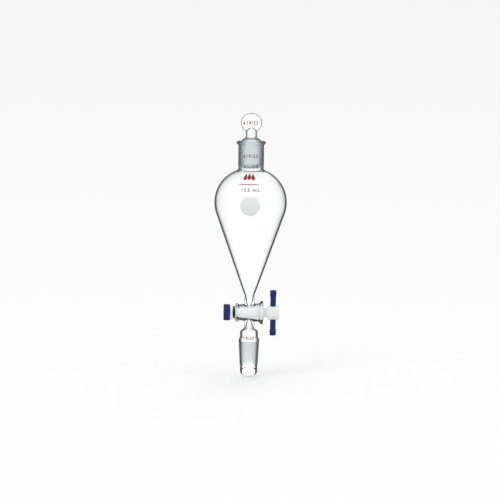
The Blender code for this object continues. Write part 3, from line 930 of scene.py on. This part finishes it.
def seal_fillet(sizes, edge, ring, arm_radius, side):
    """The glass between a barrel window's edge and an arm. A curved sheet between the two is
    brought onto the surface where the smooth minimum of two distances is nothing: the distance
    from the arm's cylinder and the one from the barrel's cone. The smooth minimum of a and b is
    the lesser of them, less h squared times k over 4, where h is the share of k by which their
    difference falls short of it."""
    reach = sizes.fillet
    angles = around()
    x, y = arm_radius * np.cos(angles), arm_radius * np.sin(angles)
    radius = barrel_radius(sizes, x)[0]
    crease = np.stack([x, y, side * np.sqrt(radius**2 - y**2)], axis=-1)
    start, end = edge - STOPCOCK_CENTRE, ring - STOPCOCK_CENTRE
    t = np.linspace(0.0, 1.0, 15)[:, None, None]
    points = (1 - t) ** 2 * start + 2 * t * (1 - t) * crease + t**2 * end
    for _ in range(12):
        px, py, pz = np.moveaxis(points, -1, 0)
        from_axis, from_barrel = np.hypot(px, py), np.hypot(py, pz)
        radius, slope = barrel_radius(sizes, px)
        a, b = from_axis - arm_radius, from_barrel - radius
        h = np.maximum(reach - np.abs(a - b), 0.0) / reach
        value = np.minimum(a, b) - h**2 * reach / 4
        arm_share = np.where(a < b, 1 - h / 2, h / 2)
        arm_slope = np.stack([px / from_axis, py / from_axis, 0 * px], axis=-1)
        down = np.full_like(px, -slope)
        barrel_slope = np.stack([down, py / from_barrel, pz / from_barrel], axis=-1)
        gradient = arm_share[..., None] * arm_slope + (1 - arm_share[..., None]) * barrel_slope
        points = points - value[..., None] * gradient / np.sum(gradient**2, -1, keepdims=True)
    points[0], points[-1] = start, end
    return points + STOPCOCK_CENTRE


def bore_lip(sizes, edge, mouth):
    """The plug's bore between a window's edge and the mouth of a way: place along X and angle
    about X both run evenly from one to the other, at the bore's own radius."""
    start, end = edge - STOPCOCK_CENTRE, mouth - STOPCOCK_CENTRE
    t = np.linspace(0.0, 1.0, 13)[:, None]
    x = start[:, 0] + t * (end[:, 0] - start[:, 0])
    first = np.arctan2(start[:, 1], start[:, 2] * np.sign(start[:, 2]))
    last = np.arctan2(end[:, 1], end[:, 2] * np.sign(end[:, 2]))
    turn = first + t * (last - first)
    radius = bore_radius(sizes, x)
    side = np.sign(end[0, 2])
    grid = np.stack([x, radius * np.sin(turn), side * radius * np.cos(turn)], axis=-1)
    grid[0], grid[-1] = start, end
    return grid + STOPCOCK_CENTRE


def vessel_mesh(sizes):
    """The whole vessel as one closed skin."""
    barrel, outer_rows, bore_rows = barrel_grid(sizes)
    shape = barrel.shape[:2]
    keep = np.ones(shape, bool)
    shell = Shell()
    skins = {1: upper_skin(sizes), -1: lower_skin(sizes)}
    arms = {1: sizes.upper_arm, -1: sizes.lower_arm}
    for side, skin in skins.items():
        middle = COLUMNS // 4 if side == 1 else 3 * COLUMNS // 4
        reach, bore_reach = OUTER_WINDOW[2], BORE_WINDOW[2]
        keep &= ~window_cells(shape, outer_rows, middle, reach)
        keep &= ~window_cells(shape, bore_rows, middle, bore_reach)
        edge = barrel[window_loop(outer_rows, middle, reach, -side)]
        bore_edge = barrel[window_loop(bore_rows, middle, bore_reach, -side)]
        shell.add(skin)
        shell.add(seal_fillet(sizes, edge, skin[0], arms[side], side))
        shell.add(bore_lip(sizes, bore_edge, skin[-1]))
    shell.add(barrel, ring=True, keep=keep)
    return shell.mesh("glass_vessel")


class FUNNEL_OT_vessel(bpy.types.Operator):
    """Builds the fused glass vessel"""

    bl_idname = "funnel.vessel"
    bl_label = "Glass vessel"

    def execute(self, context):
        scene = context.scene
        sizes = scene.funnel_vessel
        rim, foot = NECK_HIGH.z, -sizes.joint_length
        socket = rim - sizes.lead - sizes.joint_length

        def ground_zone(radius, z):
            """The socket's inside and the lower cone's outside."""
            inside = 1.0 - radius.ramp(0.0102, 0.0108)
            outside = radius.ramp(0.0080, 0.00825)
            upper = z.between(socket + 0.0004, rim - 0.0010, 0.0002) * inside
            lower = z.between(foot, -0.0001, 0.0002) * outside
            return (upper + lower).at_most(1.0)

        # Painted shade on the vessel's edges below 0.045 m, from 0.35 of the way to grazing.
        material = glass_material("vessel_glass", scene.funnel_colors, ground_zone, 0.045, 0.35)
        piece = new_piece("glass_vessel", vessel_mesh(sizes), material)
        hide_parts("neck_socket", "pear_bulb", "stopcock_barrel", "inner_joint")
        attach(piece, "glass")
        return {"FINISHED"}


# ---------------------------------------------------------------- the stopper


def head_middle(sizes):
    """Height of the middle of the stopper's head."""
    return STOPPER_HIGH.z - sizes.head_height / 2


def head_halves(sizes, z):
    """Half width and half thickness of the head at a height: an ellipse of the head's width and
    height, with an edge that is rounded over half its thickness."""
    half_height, half_depth = sizes.head_height / 2, sizes.head_thickness / 2
    up = np.clip(np.abs(z - head_middle(sizes)) / half_height, 0.0, 1.0)
    width = STOPPER_HIGH.x * np.sqrt(1 - up**2)
    into_edge = np.clip((up * half_height - half_height + half_depth) / half_depth, 0.0, 1.0)
    return width, half_depth * np.sqrt(1 - into_edge**2)


def stopper_grid(sizes):
    """The stopper's skin as a radius for each angle and height. It is the smooth maximum, the
    eighth root of a sum of eighth powers, of a turned cone, dome and stem and of the head, whose
    section is a superellipse: (cos a / w)^n + (sin a / d)^n = 1 / r^n."""
    low, top = STOPPER_LOW.z, STOPPER_HIGH.z
    cone_low = low + sizes.toe
    cone_high = cone_low + sizes.cone_length
    stem = sizes.stem_radius
    stem_foot = stem + 0.0004
    full = sizes.dome_fullness
    dome = rounded([(1.0, 0.0), (full, full), (0.0, 1.0)], (1.5,))
    dome = dome * (sizes.cone_large - stem_foot, sizes.dome) + (stem_foot, cone_high)
    stem_high = cone_high + sizes.stem_top
    middle = head_middle(sizes)
    foot = [
        (0.0, low),
        (sizes.cone_small - sizes.toe, low),
        (sizes.cone_small, cone_low),
        (sizes.cone_large, cone_high),
    ]
    shaft = [(stem_foot, cone_high + sizes.dome), (stem, cone_high + sizes.dome + 0.0007)]
    shaft += [(stem, stem_high), (0.0036, stem_high + 0.0026), (0.0006, middle)]
    up = np.linspace(0.05, math.pi / 2, 46)
    crown = np.stack([0 * up, middle + sizes.head_height / 2 * np.sin(up)], axis=1)
    foot_path = fill(rounded(foot, (0.0005, 0.0003)), 0.0009)
    path = chain(foot_path, dome, fill(rounded(shaft, (0.0006, 0.002, 0.002)), 0.0005), crown)
    radius, z = path[:, :1], path[:, 1:]
    angles = around()
    width, depth = head_halves(sizes, z)
    power = sizes.head_fullness
    tiny = 1e-9
    across = (np.abs(np.cos(angles)) / np.maximum(width, tiny)) ** power
    through = (np.abs(np.sin(angles)) / np.maximum(depth, tiny)) ** power
    head = np.where(np.minimum(width, depth) > 1e-7, (across + through) ** (-1 / power), 0.0)
    reach = (radius**8 + head**8) ** (1 / 8)
    reach = np.where(z < top - 1e-8, reach, 0.0)
    heights = np.broadcast_to(z, reach.shape)
    return np.stack([reach * np.cos(angles), reach * np.sin(angles), heights], axis=-1)


class FUNNEL_OT_stopper(bpy.types.Operator):
    """Builds the flat-headed glass stopper"""

    bl_idname = "funnel.stopper"
    bl_label = "Glass stopper"

    def execute(self, context):
        scene = context.scene
        sizes = scene.funnel_stopper
        low = STOPPER_LOW.z + sizes.toe

        def ground_zone(radius, z):
            """The cone's outside."""
            return z.between(low, low + sizes.cone_length, 0.0002) * radius.ramp(0.0078, 0.0080)

        # Painted shade on all of the stopper's edges, from 0.05 of the way to grazing.
        material = glass_material("stopper_glass", scene.funnel_colors, ground_zone, 1.0, 0.05)
        mesh = Shell().add(stopper_grid(sizes)).mesh("glass_stopper")
        piece = new_piece("glass_stopper", mesh, material)
        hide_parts("stopper")
        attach(piece, "stopper")
        return {"FINISHED"}


# ---------------------------------------------------------------- the stopcock's parts


def threaded(path, first, last, pitch, depth, columns):
    """A turned path whose stretch between two heights carries a screw thread: its radius drops
    by the depth times a rounded wave, (1 - cos w) / 2 to the power 1.5, where w is a full turn
    for each pitch of height, less the angle round the circle. The thread fades at both ends."""
    grid = turned(path, columns)
    z = grid[..., 2]
    phase = ROUND * z / pitch - around(columns)
    fade = np.clip((z - first) / pitch, 0, 1) * np.clip((last - z) / pitch, 0, 1)
    groove = depth * fade * (0.5 - 0.5 * np.cos(phase)) ** 1.5
    radius = np.maximum(np.hypot(grid[..., 0], grid[..., 1]), 1e-12)
    scale = np.where(radius > depth, (radius - groove) / radius, 1.0)
    grid[..., :2] *= scale[..., None]
    return grid


def plug_path(sizes, vessel):
    """The plug's outline from its tail to its hub, with lathe chamfers and a dished hub face."""
    tail, hub = sizes.tail_radius, sizes.hub_radius
    start, end = sizes.body_start, sizes.body_end
    tip, far = PLUG_LOW.x, PLUG_HIGH.x
    collar, hub_start = sizes.collar_radius, sizes.hub_start
    body_small = bore_radius(vessel, start) - sizes.fit_gap
    body_large = bore_radius(vessel, end) - sizes.fit_gap
    points = [
        (0.0, tip),
        (tail - 0.0005, tip),
        (tail, tip + 0.0005),
        (tail, start - 0.0006),
        (tail - 0.0004, start - 0.0004),
        (tail - 0.0004, start),
        (body_small, start),
        (body_large, end),
        (collar, end),
        (collar, hub_start),
        (hub, hub_start),
        (hub, far),
        (hub - 0.0012, far),
        (hub - 0.0016, far - 0.0004),
        (0.0, far - 0.0004),
    ]
    radii = (0.0001, 0.0002, 0.0001, 0.0001, 0.0001, 0.0004, 0.0003, 0.0003)
    radii += (0.0003, 0.0006, 0.0006, 0.0001, 0.0001)
    return rounded(points, radii, 4)


def cutter(name, radius, along, reach, columns=48):
    """A closed cylinder along Z through the stopcock's axis, at a place along X."""
    path = fill([(0.0, -reach), (radius, -reach), (radius, reach), (0.0, reach)], reach)
    grid = turned(path, columns) + (along, 0.0, STOPCOCK_HEIGHT)
    return Shell().add(grid).mesh(name)


class FUNNEL_OT_plug(bpy.types.Operator):
    """Builds the PTFE plug with its threaded tail and its drilled hub"""

    bl_idname = "funnel.plug"
    bl_label = "PTFE plug"

    def execute(self, context):
        scene = context.scene
        sizes, vessel = scene.funnel_stopcock, scene.funnel_vessel

        path = plug_path(sizes, vessel)
        thread_start, thread_end = PLUG_LOW.x, sizes.body_start - 0.0006
        tail = fill(path[path[:, 1] < thread_end + WELD], 0.00012)
        rest = fill(path[path[:, 1] >= thread_end - WELD], 0.0012)
        path = chain(tail, rest)
        pitch, depth = sizes.thread_pitch, sizes.thread_depth
        grid = threaded(path, thread_start, thread_end, pitch, depth, 96)
        mesh = Shell().add(along_stopcock(grid)).mesh("ptfe_plug")
        piece = new_piece("ptfe_plug", mesh, bpy.data.materials["turned_ptfe"])
        hole = sizes.shaft_radius + sizes.fit_gap / 2
        handle_place = (BAR_LOW.x + BAR_HIGH.x) / 2
        cutters = [
            cutter("cross_bore", sizes.cross_bore, 0.0, 0.009),
            cutter("bar_hole", hole, handle_place, 0.009, 64),
        ]
        cut(piece, cutters)
        sharp_edges(piece, 32)
        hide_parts("stopcock_plug")
        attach(piece, "plug")
        return {"FINISHED"}


def bar_grid(sizes):
    """The bar: a rounded path with thicker ends, turned about its own upright line, and a parting
    ridge that stands 0.05 mm out on both sides as a narrow bell curve of the angle."""
    half = (BAR_HIGH.z - BAR_LOW.z) / 2
    thick = (BAR_HIGH.x - BAR_LOW.x) / 2
    shaft, step = sizes.shaft_radius, half - sizes.bar_end
    upper = [
        (0.0, half),
        (thick - 0.0001, half),
        (thick, step + 0.0004),
        (shaft, step),
        (shaft, 0.0),
    ]
    top = rounded(upper, (0.0009, 0.0004, 0.0004), 8)
    path = fill(chain(top, top[::-1] * (1.0, -1.0)), 0.0015)
    grid = turned(path)
    ridge = 0.00005 * np.exp(-((np.sin(around()) / 0.05) ** 2))
    grow = 1 + np.where(path[:, :1] > 0.001, ridge / np.maximum(path[:, :1], 0.001), 0.0)
    grid[..., :2] *= grow[..., None]
    grid[..., :2] *= np.minimum(1.0, thick / np.maximum(grow * path[:, :1], thick))[..., None]
    middle = (BAR_LOW.x + BAR_HIGH.x) / 2
    return grid + (middle, 0.0, STOPCOCK_HEIGHT)


class FUNNEL_OT_bar(bpy.types.Operator):
    """Builds the blue bar through the plug's hub"""

    bl_idname = "funnel.bar"
    bl_label = "Handle bar"

    def execute(self, context):
        mesh = Shell().add(bar_grid(context.scene.funnel_stopcock)).mesh("blue_bar")
        piece = new_piece("blue_bar", mesh, bpy.data.materials["moulded_plastic"])
        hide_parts("handle_bar")
        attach(piece, "plug")
        return {"FINISHED"}


def o_ring_grid():
    """A ring of round section, with the faint flash line of its mould round the outside."""
    rounding = (RING_HIGH.x - RING_LOW.x) / 2
    middle = RING_HIGH.y - rounding
    place = (RING_HIGH.x + RING_LOW.x) / 2
    angles = np.linspace(0.0, ROUND, 48, endpoint=False)
    flash = 0.00003 * (1 - np.exp(-((np.sin(angles) / 0.2) ** 2)))
    section = np.stack([np.cos(angles), np.sin(angles)], axis=1) * (rounding - flash)[:, None]
    return along_stopcock(turned(section + (middle, place), 96))


def washer_grid(sizes):
    """A flat ring with small chamfers on all four edges."""
    outer, hole = WASHER_HIGH.y, sizes.washer_hole
    low, high = WASHER_LOW.x, WASHER_HIGH.x
    middle = (low + high) / 2
    half = [(outer, middle), (outer, high), (hole, high), (hole, middle)]
    back = [(hole, middle), (hole, low), (outer, low), (outer, middle)]
    section = chain(*(fill(rounded(run, (0.0002, 0.0002), 4), 0.001) for run in (half, back)))
    return along_stopcock(turned(section[:-1], 96))


class FUNNEL_OT_seal_rings(bpy.types.Operator):
    """Builds the black O-ring and the PTFE washer"""

    bl_idname = "funnel.seal_rings"
    bl_label = "Seal rings"

    def execute(self, context):
        grids = {
            "rubber_ring": (o_ring_grid(), "o_ring", "black_rubber", "ring_rubber"),
            "ptfe_washer": (
                washer_grid(context.scene.funnel_stopcock),
                "plug_washer",
                "white_ptfe",
                "turned_ptfe",
            ),
        }
        for name, (grid, node, slot, finish) in grids.items():
            mesh = Shell().add(grid, ring=True).mesh(name)
            piece = new_piece(name, mesh, bpy.data.materials[finish])
            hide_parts(node)
            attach(piece, "tension_set")
        return {"FINISHED"}


def nut_grid(sizes):
    """The nut's closed section, turned, with lobes: its radius dips by the lobe's depth times 1 -
    cos of the lobe count times the angle, in full at the outside and less towards the hole."""
    radius, hole = NUT_HIGH.y, sizes.nut_hole
    low, high = NUT_LOW.x, NUT_HIGH.x
    middle = (low + high) / 2
    chamfer = 0.0007
    near = [
        (radius, middle),
        (radius, high - chamfer),
        (radius - chamfer, high),
        (hole + 0.0003, high),
        (hole, high - 0.0003),
        (hole, middle),
    ]
    far = [(r, 2 * middle - x) for r, x in reversed(near)]
    radii = (0.0005, 0.0003, 0.0001, 0.0001)
    section = chain(*(fill(rounded(run, radii, 4), 0.0007) for run in (near, far)))[:-1]
    columns = sizes.nut_lobes * 16
    grid = turned(section, columns)
    weight = np.clip((section[:, :1] - hole - 0.001) / (radius - hole - 0.001), 0.0, 1.0)
    dip = weight * sizes.lobe_depth * (1 - np.cos(sizes.nut_lobes * around(columns)))
    grid[..., :2] *= (1 - dip / section[:, :1])[..., None]
    return along_stopcock(grid)


class FUNNEL_OT_nut(bpy.types.Operator):
    """Builds the lobed tension nut"""

    bl_idname = "funnel.nut"
    bl_label = "Tension nut"

    def execute(self, context):
        mesh = Shell().add(nut_grid(context.scene.funnel_stopcock), ring=True).mesh("blue_nut")
        piece = new_piece("blue_nut", mesh, bpy.data.materials["moulded_plastic"])
        sharp_edges(piece, 40)
        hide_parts("tension_nut")
        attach(piece, "tension_nut")
        return {"FINISHED"}


# ---------------------------------------------------------------- marks


def flat_letters(text, size, spacing, thickness, weight):
    """A line of letters as a thin closed mesh: (across, up, out) points, centred, and the mesh."""
    curve = bpy.data.curves.new("letters", "FONT")
    curve.body = text
    curve.size = size
    curve.space_character = spacing
    curve.resolution_u = 4
    curve.extrude = thickness / 2
    curve.offset = weight
    holder = bpy.data.objects.new("letters", curve)
    bpy.context.scene.collection.objects.link(holder)
    bpy.context.view_layer.update()
    graph = bpy.context.evaluated_depsgraph_get()
    mesh = bpy.data.meshes.new_from_object(holder.evaluated_get(graph))
    bpy.data.objects.remove(holder)
    points = np.zeros(len(mesh.vertices) * 3)
    mesh.vertices.foreach_get("co", points)
    points = points.reshape(-1, 3)
    middle = (points.min(0) + points.max(0)) / 2
    return points - middle, mesh


def flat_patch(outline, thickness, rings=10):
    """A thin closed sheet inside an outline: its front is the outline shrunk evenly towards its
    middle in rings, its back the same, and the two meet at the rim."""
    shrink = np.linspace(0.0, 1.0, rings)[:, None, None]
    front = outline * shrink
    sheet = np.concatenate([front, front[::-1]])
    out = np.repeat([thickness, 0.0], rings)[:, None, None] * np.ones((1, len(outline), 1))
    return np.concatenate([sheet, out], axis=-1)


def drop_outline(height, width, count=64):
    """A hanging drop, pointed at the top: across is width times sin t times sin(t/2) to the 1.5,
    and up is half the height times cos t."""
    t = np.arange(count) * ROUND / count
    across = width / 2 * 1.3 * np.sin(t) * np.abs(np.sin(t / 2)) ** 1.5
    return np.stack([across, height / 2 * np.cos(t)], axis=-1)


def bar_outline(length_across, width, count=64):
    """A straight bar with round ends: a circle of the width, pulled apart along its length."""
    t = np.arange(count) * ROUND / count
    pull = np.sign(np.cos(t)) * (length_across - width) / 2
    return np.stack([width / 2 * np.cos(t) + pull, width / 2 * np.sin(t)], axis=-1)


def wrap(points, path, height, lift):
    """Lays flat (across, up, out) points on a skin turned about Z, facing -Y. Up runs along the
    path's own length from a height, across is a length round the skin at that height, and out is
    measured along the path's normal."""
    path = path[np.argsort(path[:, 1])]
    steps = np.linalg.norm(np.diff(path, axis=0), axis=1)
    run = np.append(0.0, np.cumsum(steps))
    start = np.interp(height, path[:, 1], run)
    across, up, out = np.moveaxis(points, -1, 0)
    place = start + up
    radius, z = np.interp(place, run, path[:, 0]), np.interp(place, run, path[:, 1])
    step = 0.0004  # half the stretch that the normal is taken from
    rise = np.interp(place + step, run, path[:, 1]) - np.interp(place - step, run, path[:, 1])
    spread = np.interp(place + step, run, path[:, 0]) - np.interp(place - step, run, path[:, 0])
    size = np.hypot(rise, spread)
    off = out + lift
    radius = radius + off * rise / size
    turn = across / np.interp(start, run, path[:, 0])
    z = z - off * spread / size
    return np.stack([radius * np.sin(turn), -radius * np.cos(turn), z], axis=-1)


def on_head(points, sizes, lift):
    """Lays flat (across, up, out) points on the front of the stopper's head, which lies at
    y = -d (1 - (x / w)^n)^(1/n) for its half width w and half thickness d."""
    across, up, out = np.moveaxis(points, -1, 0)
    z = head_middle(sizes) + up
    width, depth = head_halves(sizes, z)
    power = sizes.head_fullness
    front = depth * (1 - (np.abs(across) / width) ** power) ** (1 / power)
    return np.stack([across, -(front + out + lift), z], axis=-1)


def letters_piece(name, text, size, spacing, marks, lay):
    """Letters laid on a skin by a function, as a piece in red enamel."""
    points, mesh = flat_letters(text, size, spacing, marks.thickness, marks.letter_weight)
    mesh.vertices.foreach_set("co", lay(points).astype(np.float32).ravel())
    mesh.name = name
    return new_piece(name, tidy(mesh), bpy.data.materials["red_enamel"])


def patch_piece(name, outlines, thickness, lay, material):
    """Flat patches laid on a skin by a function, as one piece. Each outline has its place."""
    shell = Shell()
    for outline, (across, up) in outlines:
        sheet = flat_patch(outline, thickness) + (across, up, 0.0)
        shell.add(lay(sheet))
    return new_piece(name, shell.mesh(name), bpy.data.materials[material])


class FUNNEL_OT_marks(bpy.types.Operator):
    """Fires the enamel marks onto the front of the glass"""

    bl_idname = "funnel.marks"
    bl_label = "Enamel marks"

    def execute(self, context):
        scene = context.scene
        marks, vessel, stopper = scene.funnel_marks, scene.funnel_vessel, scene.funnel_stopper
        bulb, neck, tube = bulb_outside(vessel), neck_outside(vessel), tube_outside(vessel)
        neck = neck[neck[:, 1] < NECK_HIGH.z - 0.005]
        drop = drop_outline(marks.drop_size, marks.drop_width)
        line = bar_outline(marks.line_length, marks.line_width)
        spot = bar_outline(2 * marks.spot_radius, 2 * marks.spot_radius, 96)
        small_drop = drop_outline(marks.small_drop_size, marks.small_drop_width)

        def on(path, height, aside=0.0):
            return lambda points: wrap(points + (aside, 0.0, 0.0), path, height, marks.lift)

        def on_stopper(points, aside=0.0):
            return on_head(points + (aside, 0.0, 0.0), stopper, marks.lift)

        def letters(name, text, spacing, lay):
            return letters_piece(name, text, marks.letter_size, spacing, marks, lay)

        def patches(name, outlines, lay, finish="red_enamel"):
            return patch_piece(name, outlines, marks.thickness, lay, finish)

        drops = [
            (drop, (marks.drop_pitch * side + marks.drops_aside, -marks.drop_fall * abs(side)))
            for side in (-1, 0, 1)
        ]
        joint_drop = [(small_drop, (marks.small_drop_aside, 0.0))]
        bare_line, writing_spot = [(line, (marks.line_aside, 0.0))], [(spot, (marks.spot_aside, 0.0))]
        beside = marks.size_aside
        pieces = [
            patches("mark_drops", drops, on(bulb, marks.drops_height)),
            patches("mark_line", bare_line, on(bulb, marks.line_height)),
            letters("mark_capacity", "125 mL", 1.45, on(bulb, marks.capacity_height)),
            patches("mark_spot", writing_spot, on(bulb, marks.spot_height), "white_enamel"),
            letters("mark_neck_size", "19/22", 1.2, on(neck, marks.neck_height, beside)),
            letters("mark_joint_size", "19/22", 1.1, on(tube, marks.joint_height)),
            letters("mark_stopper_size", "19/22", 1.2, lambda points: on_stopper(points, beside)),
            patches("mark_stopper_drop", joint_drop, on_stopper),
            patches("mark_neck_drop", joint_drop, on(neck, marks.neck_height)),
        ]
        for piece in pieces:
            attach(piece, "stopper" if "stopper" in piece.name else "glass")
        return {"FINISHED"}


# ---------------------------------------------------------------- finishes and stage


class FUNNEL_OT_finishes(bpy.types.Operator):
    """Makes the opaque finishes that several pieces share"""

    bl_idname = "funnel.finishes"
    bl_label = "Finishes"

    def execute(self, context):
        colors = context.scene.funnel_colors
        ptfe_material(colors)
        plastic_material(colors)
        rubber_material(colors)
        enamel_material("red_enamel", tuple(colors.red_enamel), 0.35)
        enamel_material("white_enamel", tuple(colors.white_enamel), 0.3)
        return {"FINISHED"}


def studio_world(scene):
    """A pale surround. What is seen straight or through clear glass is the pale backdrop, what
    glass and gloss mirror is the darker room, and what lights the matt parts is a soft dome."""
    world = bpy.data.worlds.new("studio")
    scene.world = world
    tree = Tree(world)
    world.cycles.sampling_method = "NONE"
    path = tree.add("ShaderNodeLightPath")
    right, _, up = tree.axes(tree.add("ShaderNodeTexCoord").out("Generated"))
    lit = path.out("Diffuse Depth").above(0.5)
    mirrored = path.out("Glossy Depth").above(0.5) * (1.0 - lit)
    through = path.out("Transmission Depth").above(0.5) * (1.0 - lit)
    inside = path.out("Transmission Depth")
    pale = up.ramp(-0.30, 0.15, 1.0, 0.885)
    backdrop = pale * (1.0 + through * 0.20)
    room = up.ramp(-0.2, 0.9, 0.10, 0.55) + right.ramp(-0.9, -0.2, 0.06, 0.0)
    room = room + inside.above(2.5) * 0.45
    dome = up.ramp(-0.8, 0.7, 0.24, 0.98) * (1.0 + inside.above(0.5) * 1.30)
    straight = (1.0 - mirrored) * (1.0 - lit)
    strength = straight * backdrop + mirrored * room + lit * dome
    below = lit * (1.0 - up.ramp(-0.8, 0.2))
    shade = tree.mix_color(below, (1.0, 1.0, 1.0, 1.0), (0.88, 0.94, 1.0, 1.0))
    cool = tree.mix_color(mirrored, shade, (0.93, 1.0, 0.98, 1.0))
    shader = tree.add("ShaderNodeBackground", None, {"Color": cool, "Strength": strength})
    tree.add("ShaderNodeOutputWorld", None, {"Surface": shader.out("Background")})


def floor_material(rgb, radius):
    """A pale matt floor that fades into the backdrop towards its rim. Glass doesn't mirror it."""
    material, tree = new_material("pale_floor")
    coordinates = tree.place()
    x, y, _ = tree.axes(coordinates)
    mirrored = tree.add("ShaderNodeLightPath").out("Glossy Depth").above(0.5)
    fade = distance_from_axis(x, y).ramp(radius * 0.3, radius * 0.97).at_least(mirrored)
    speck = tree.noise(coordinates, 400.0, 2.0)
    shade = tree.mix_color(speck, opaque(rgb, 0.995), opaque(rgb))
    matt = tree.add("ShaderNodeBsdfDiffuse", None, {"Color": shade})
    clear = tree.add("ShaderNodeBsdfTransparent")
    mixed = tree.add(
        "ShaderNodeMixShader", None, {0: fade, 1: matt.out("BSDF"), 2: clear.out("BSDF")}
    )
    tree.add("ShaderNodeOutputMaterial", None, {"Surface": mixed.out("Shader")})
    return material


def soft_box(name, place, target, size, power):
    """A square soft light that faces a target. Gloss and glass don't mirror it."""
    light = bpy.data.lights.new(name, "AREA")
    light.shape = "SQUARE"
    light.size = size
    light.energy = power
    lamp = bpy.data.objects.new(name, light)
    bpy.context.scene.collection.objects.link(lamp)
    lamp.location = place
    lamp.visible_glossy = False
    lamp.rotation_euler = (Vector(target) - Vector(place)).to_track_quat("-Z", "Y").to_euler()


class FUNNEL_OT_stage(bpy.types.Operator):
    """Sets the floor, the light, the surround and the camera"""

    bl_idname = "funnel.stage"
    bl_label = "Studio"

    def execute(self, context):
        scene = context.scene
        studio = scene.funnel_studio
        scene.view_settings.view_transform = "Standard"
        studio_world(scene)
        low = CAD_BOX[0].z
        path = fill([(0.0, low), (studio.floor_radius, low)], 0.02)
        floor_mesh = Shell().add(turned(path)).mesh("pale_floor")
        floor = new_piece(
            "pale_floor", floor_mesh, floor_material(studio.floor_color, studio.floor_radius)
        )
        target = (0.0, 0.0, studio.aim_height)
        soft_box("key_light", (-0.7, -0.9, 1.1), target, 0.7, 3.0)
        soft_box("fill_light", (1.0, -0.5, 0.6), target, 0.8, 1.2)
        soft_box("back_light", (0.4, 1.0, 0.9), target, 0.7, 1.5)
        camera = bpy.data.cameras.new("camera")
        camera.sensor_width = 36.0
        camera.lens = camera.sensor_width * studio.distance / studio.field
        camera.clip_end = 20.0
        viewer = bpy.data.objects.new("camera", camera)
        scene.collection.objects.link(viewer)
        back = Vector((0.0, -math.cos(studio.elevation), math.sin(studio.elevation)))
        viewer.location = Vector(target) + back * studio.distance
        facing = (-back).to_track_quat("-Z", "Y")
        viewer.rotation_mode = "QUATERNION"
        viewer.rotation_quaternion = facing @ Quaternion((0.0, 0.0, 1.0), studio.roll)
        scene.camera = viewer
        return {"FINISHED"}


OPERATORS = (
    FUNNEL_OT_stage,
    FUNNEL_OT_finishes,
    FUNNEL_OT_vessel,
    FUNNEL_OT_stopper,
    FUNNEL_OT_plug,
    FUNNEL_OT_bar,
    FUNNEL_OT_seal_rings,
    FUNNEL_OT_nut,
    FUNNEL_OT_marks,
)

GROUPS = {
    "funnel_vessel": VesselSizes,
    "funnel_stopper": StopperSizes,
    "funnel_stopcock": StopcockSizes,
    "funnel_marks": MarkSizes,
    "funnel_colors": FinishColors,
    "funnel_studio": StudioSettings,
}


class FUNNEL_PT_panel(bpy.types.Panel):
    """Lists the funnel's operators and settings"""

    bl_label = "Dropping funnel"
    bl_idname = "FUNNEL_PT_panel"
    bl_space_type = "VIEW_3D"
    bl_region_type = "UI"
    bl_category = "Funnel"

    def draw(self, context):
        for operator in OPERATORS:
            self.layout.operator(operator.bl_idname)
        for name in GROUPS:
            group = getattr(context.scene, name)
            box = self.layout.box()
            for setting in group.__annotations__:
                box.prop(group, setting)


def register():
    for name, group in GROUPS.items():
        bpy.utils.register_class(group)
        setattr(bpy.types.Scene, name, bpy.props.PointerProperty(type=group))
    for operator in OPERATORS:
        bpy.utils.register_class(operator)
    bpy.utils.register_class(FUNNEL_PT_panel)


def unregister():
    bpy.utils.unregister_class(FUNNEL_PT_panel)
    for operator in reversed(OPERATORS):
        bpy.utils.unregister_class(operator)
    for name, group in reversed(GROUPS.items()):
        delattr(bpy.types.Scene, name)
        bpy.utils.unregister_class(group)


def main():
    """Builds everything in order."""
    register()
    bpy.ops.funnel.stage()
    bpy.ops.funnel.finishes()
    bpy.ops.funnel.vessel()
    bpy.ops.funnel.stopper()
    bpy.ops.funnel.plug()
    bpy.ops.funnel.bar()
    bpy.ops.funnel.seal_rings()
    bpy.ops.funnel.nut()
    bpy.ops.funnel.marks()


if __name__ == "__main__":
    main()
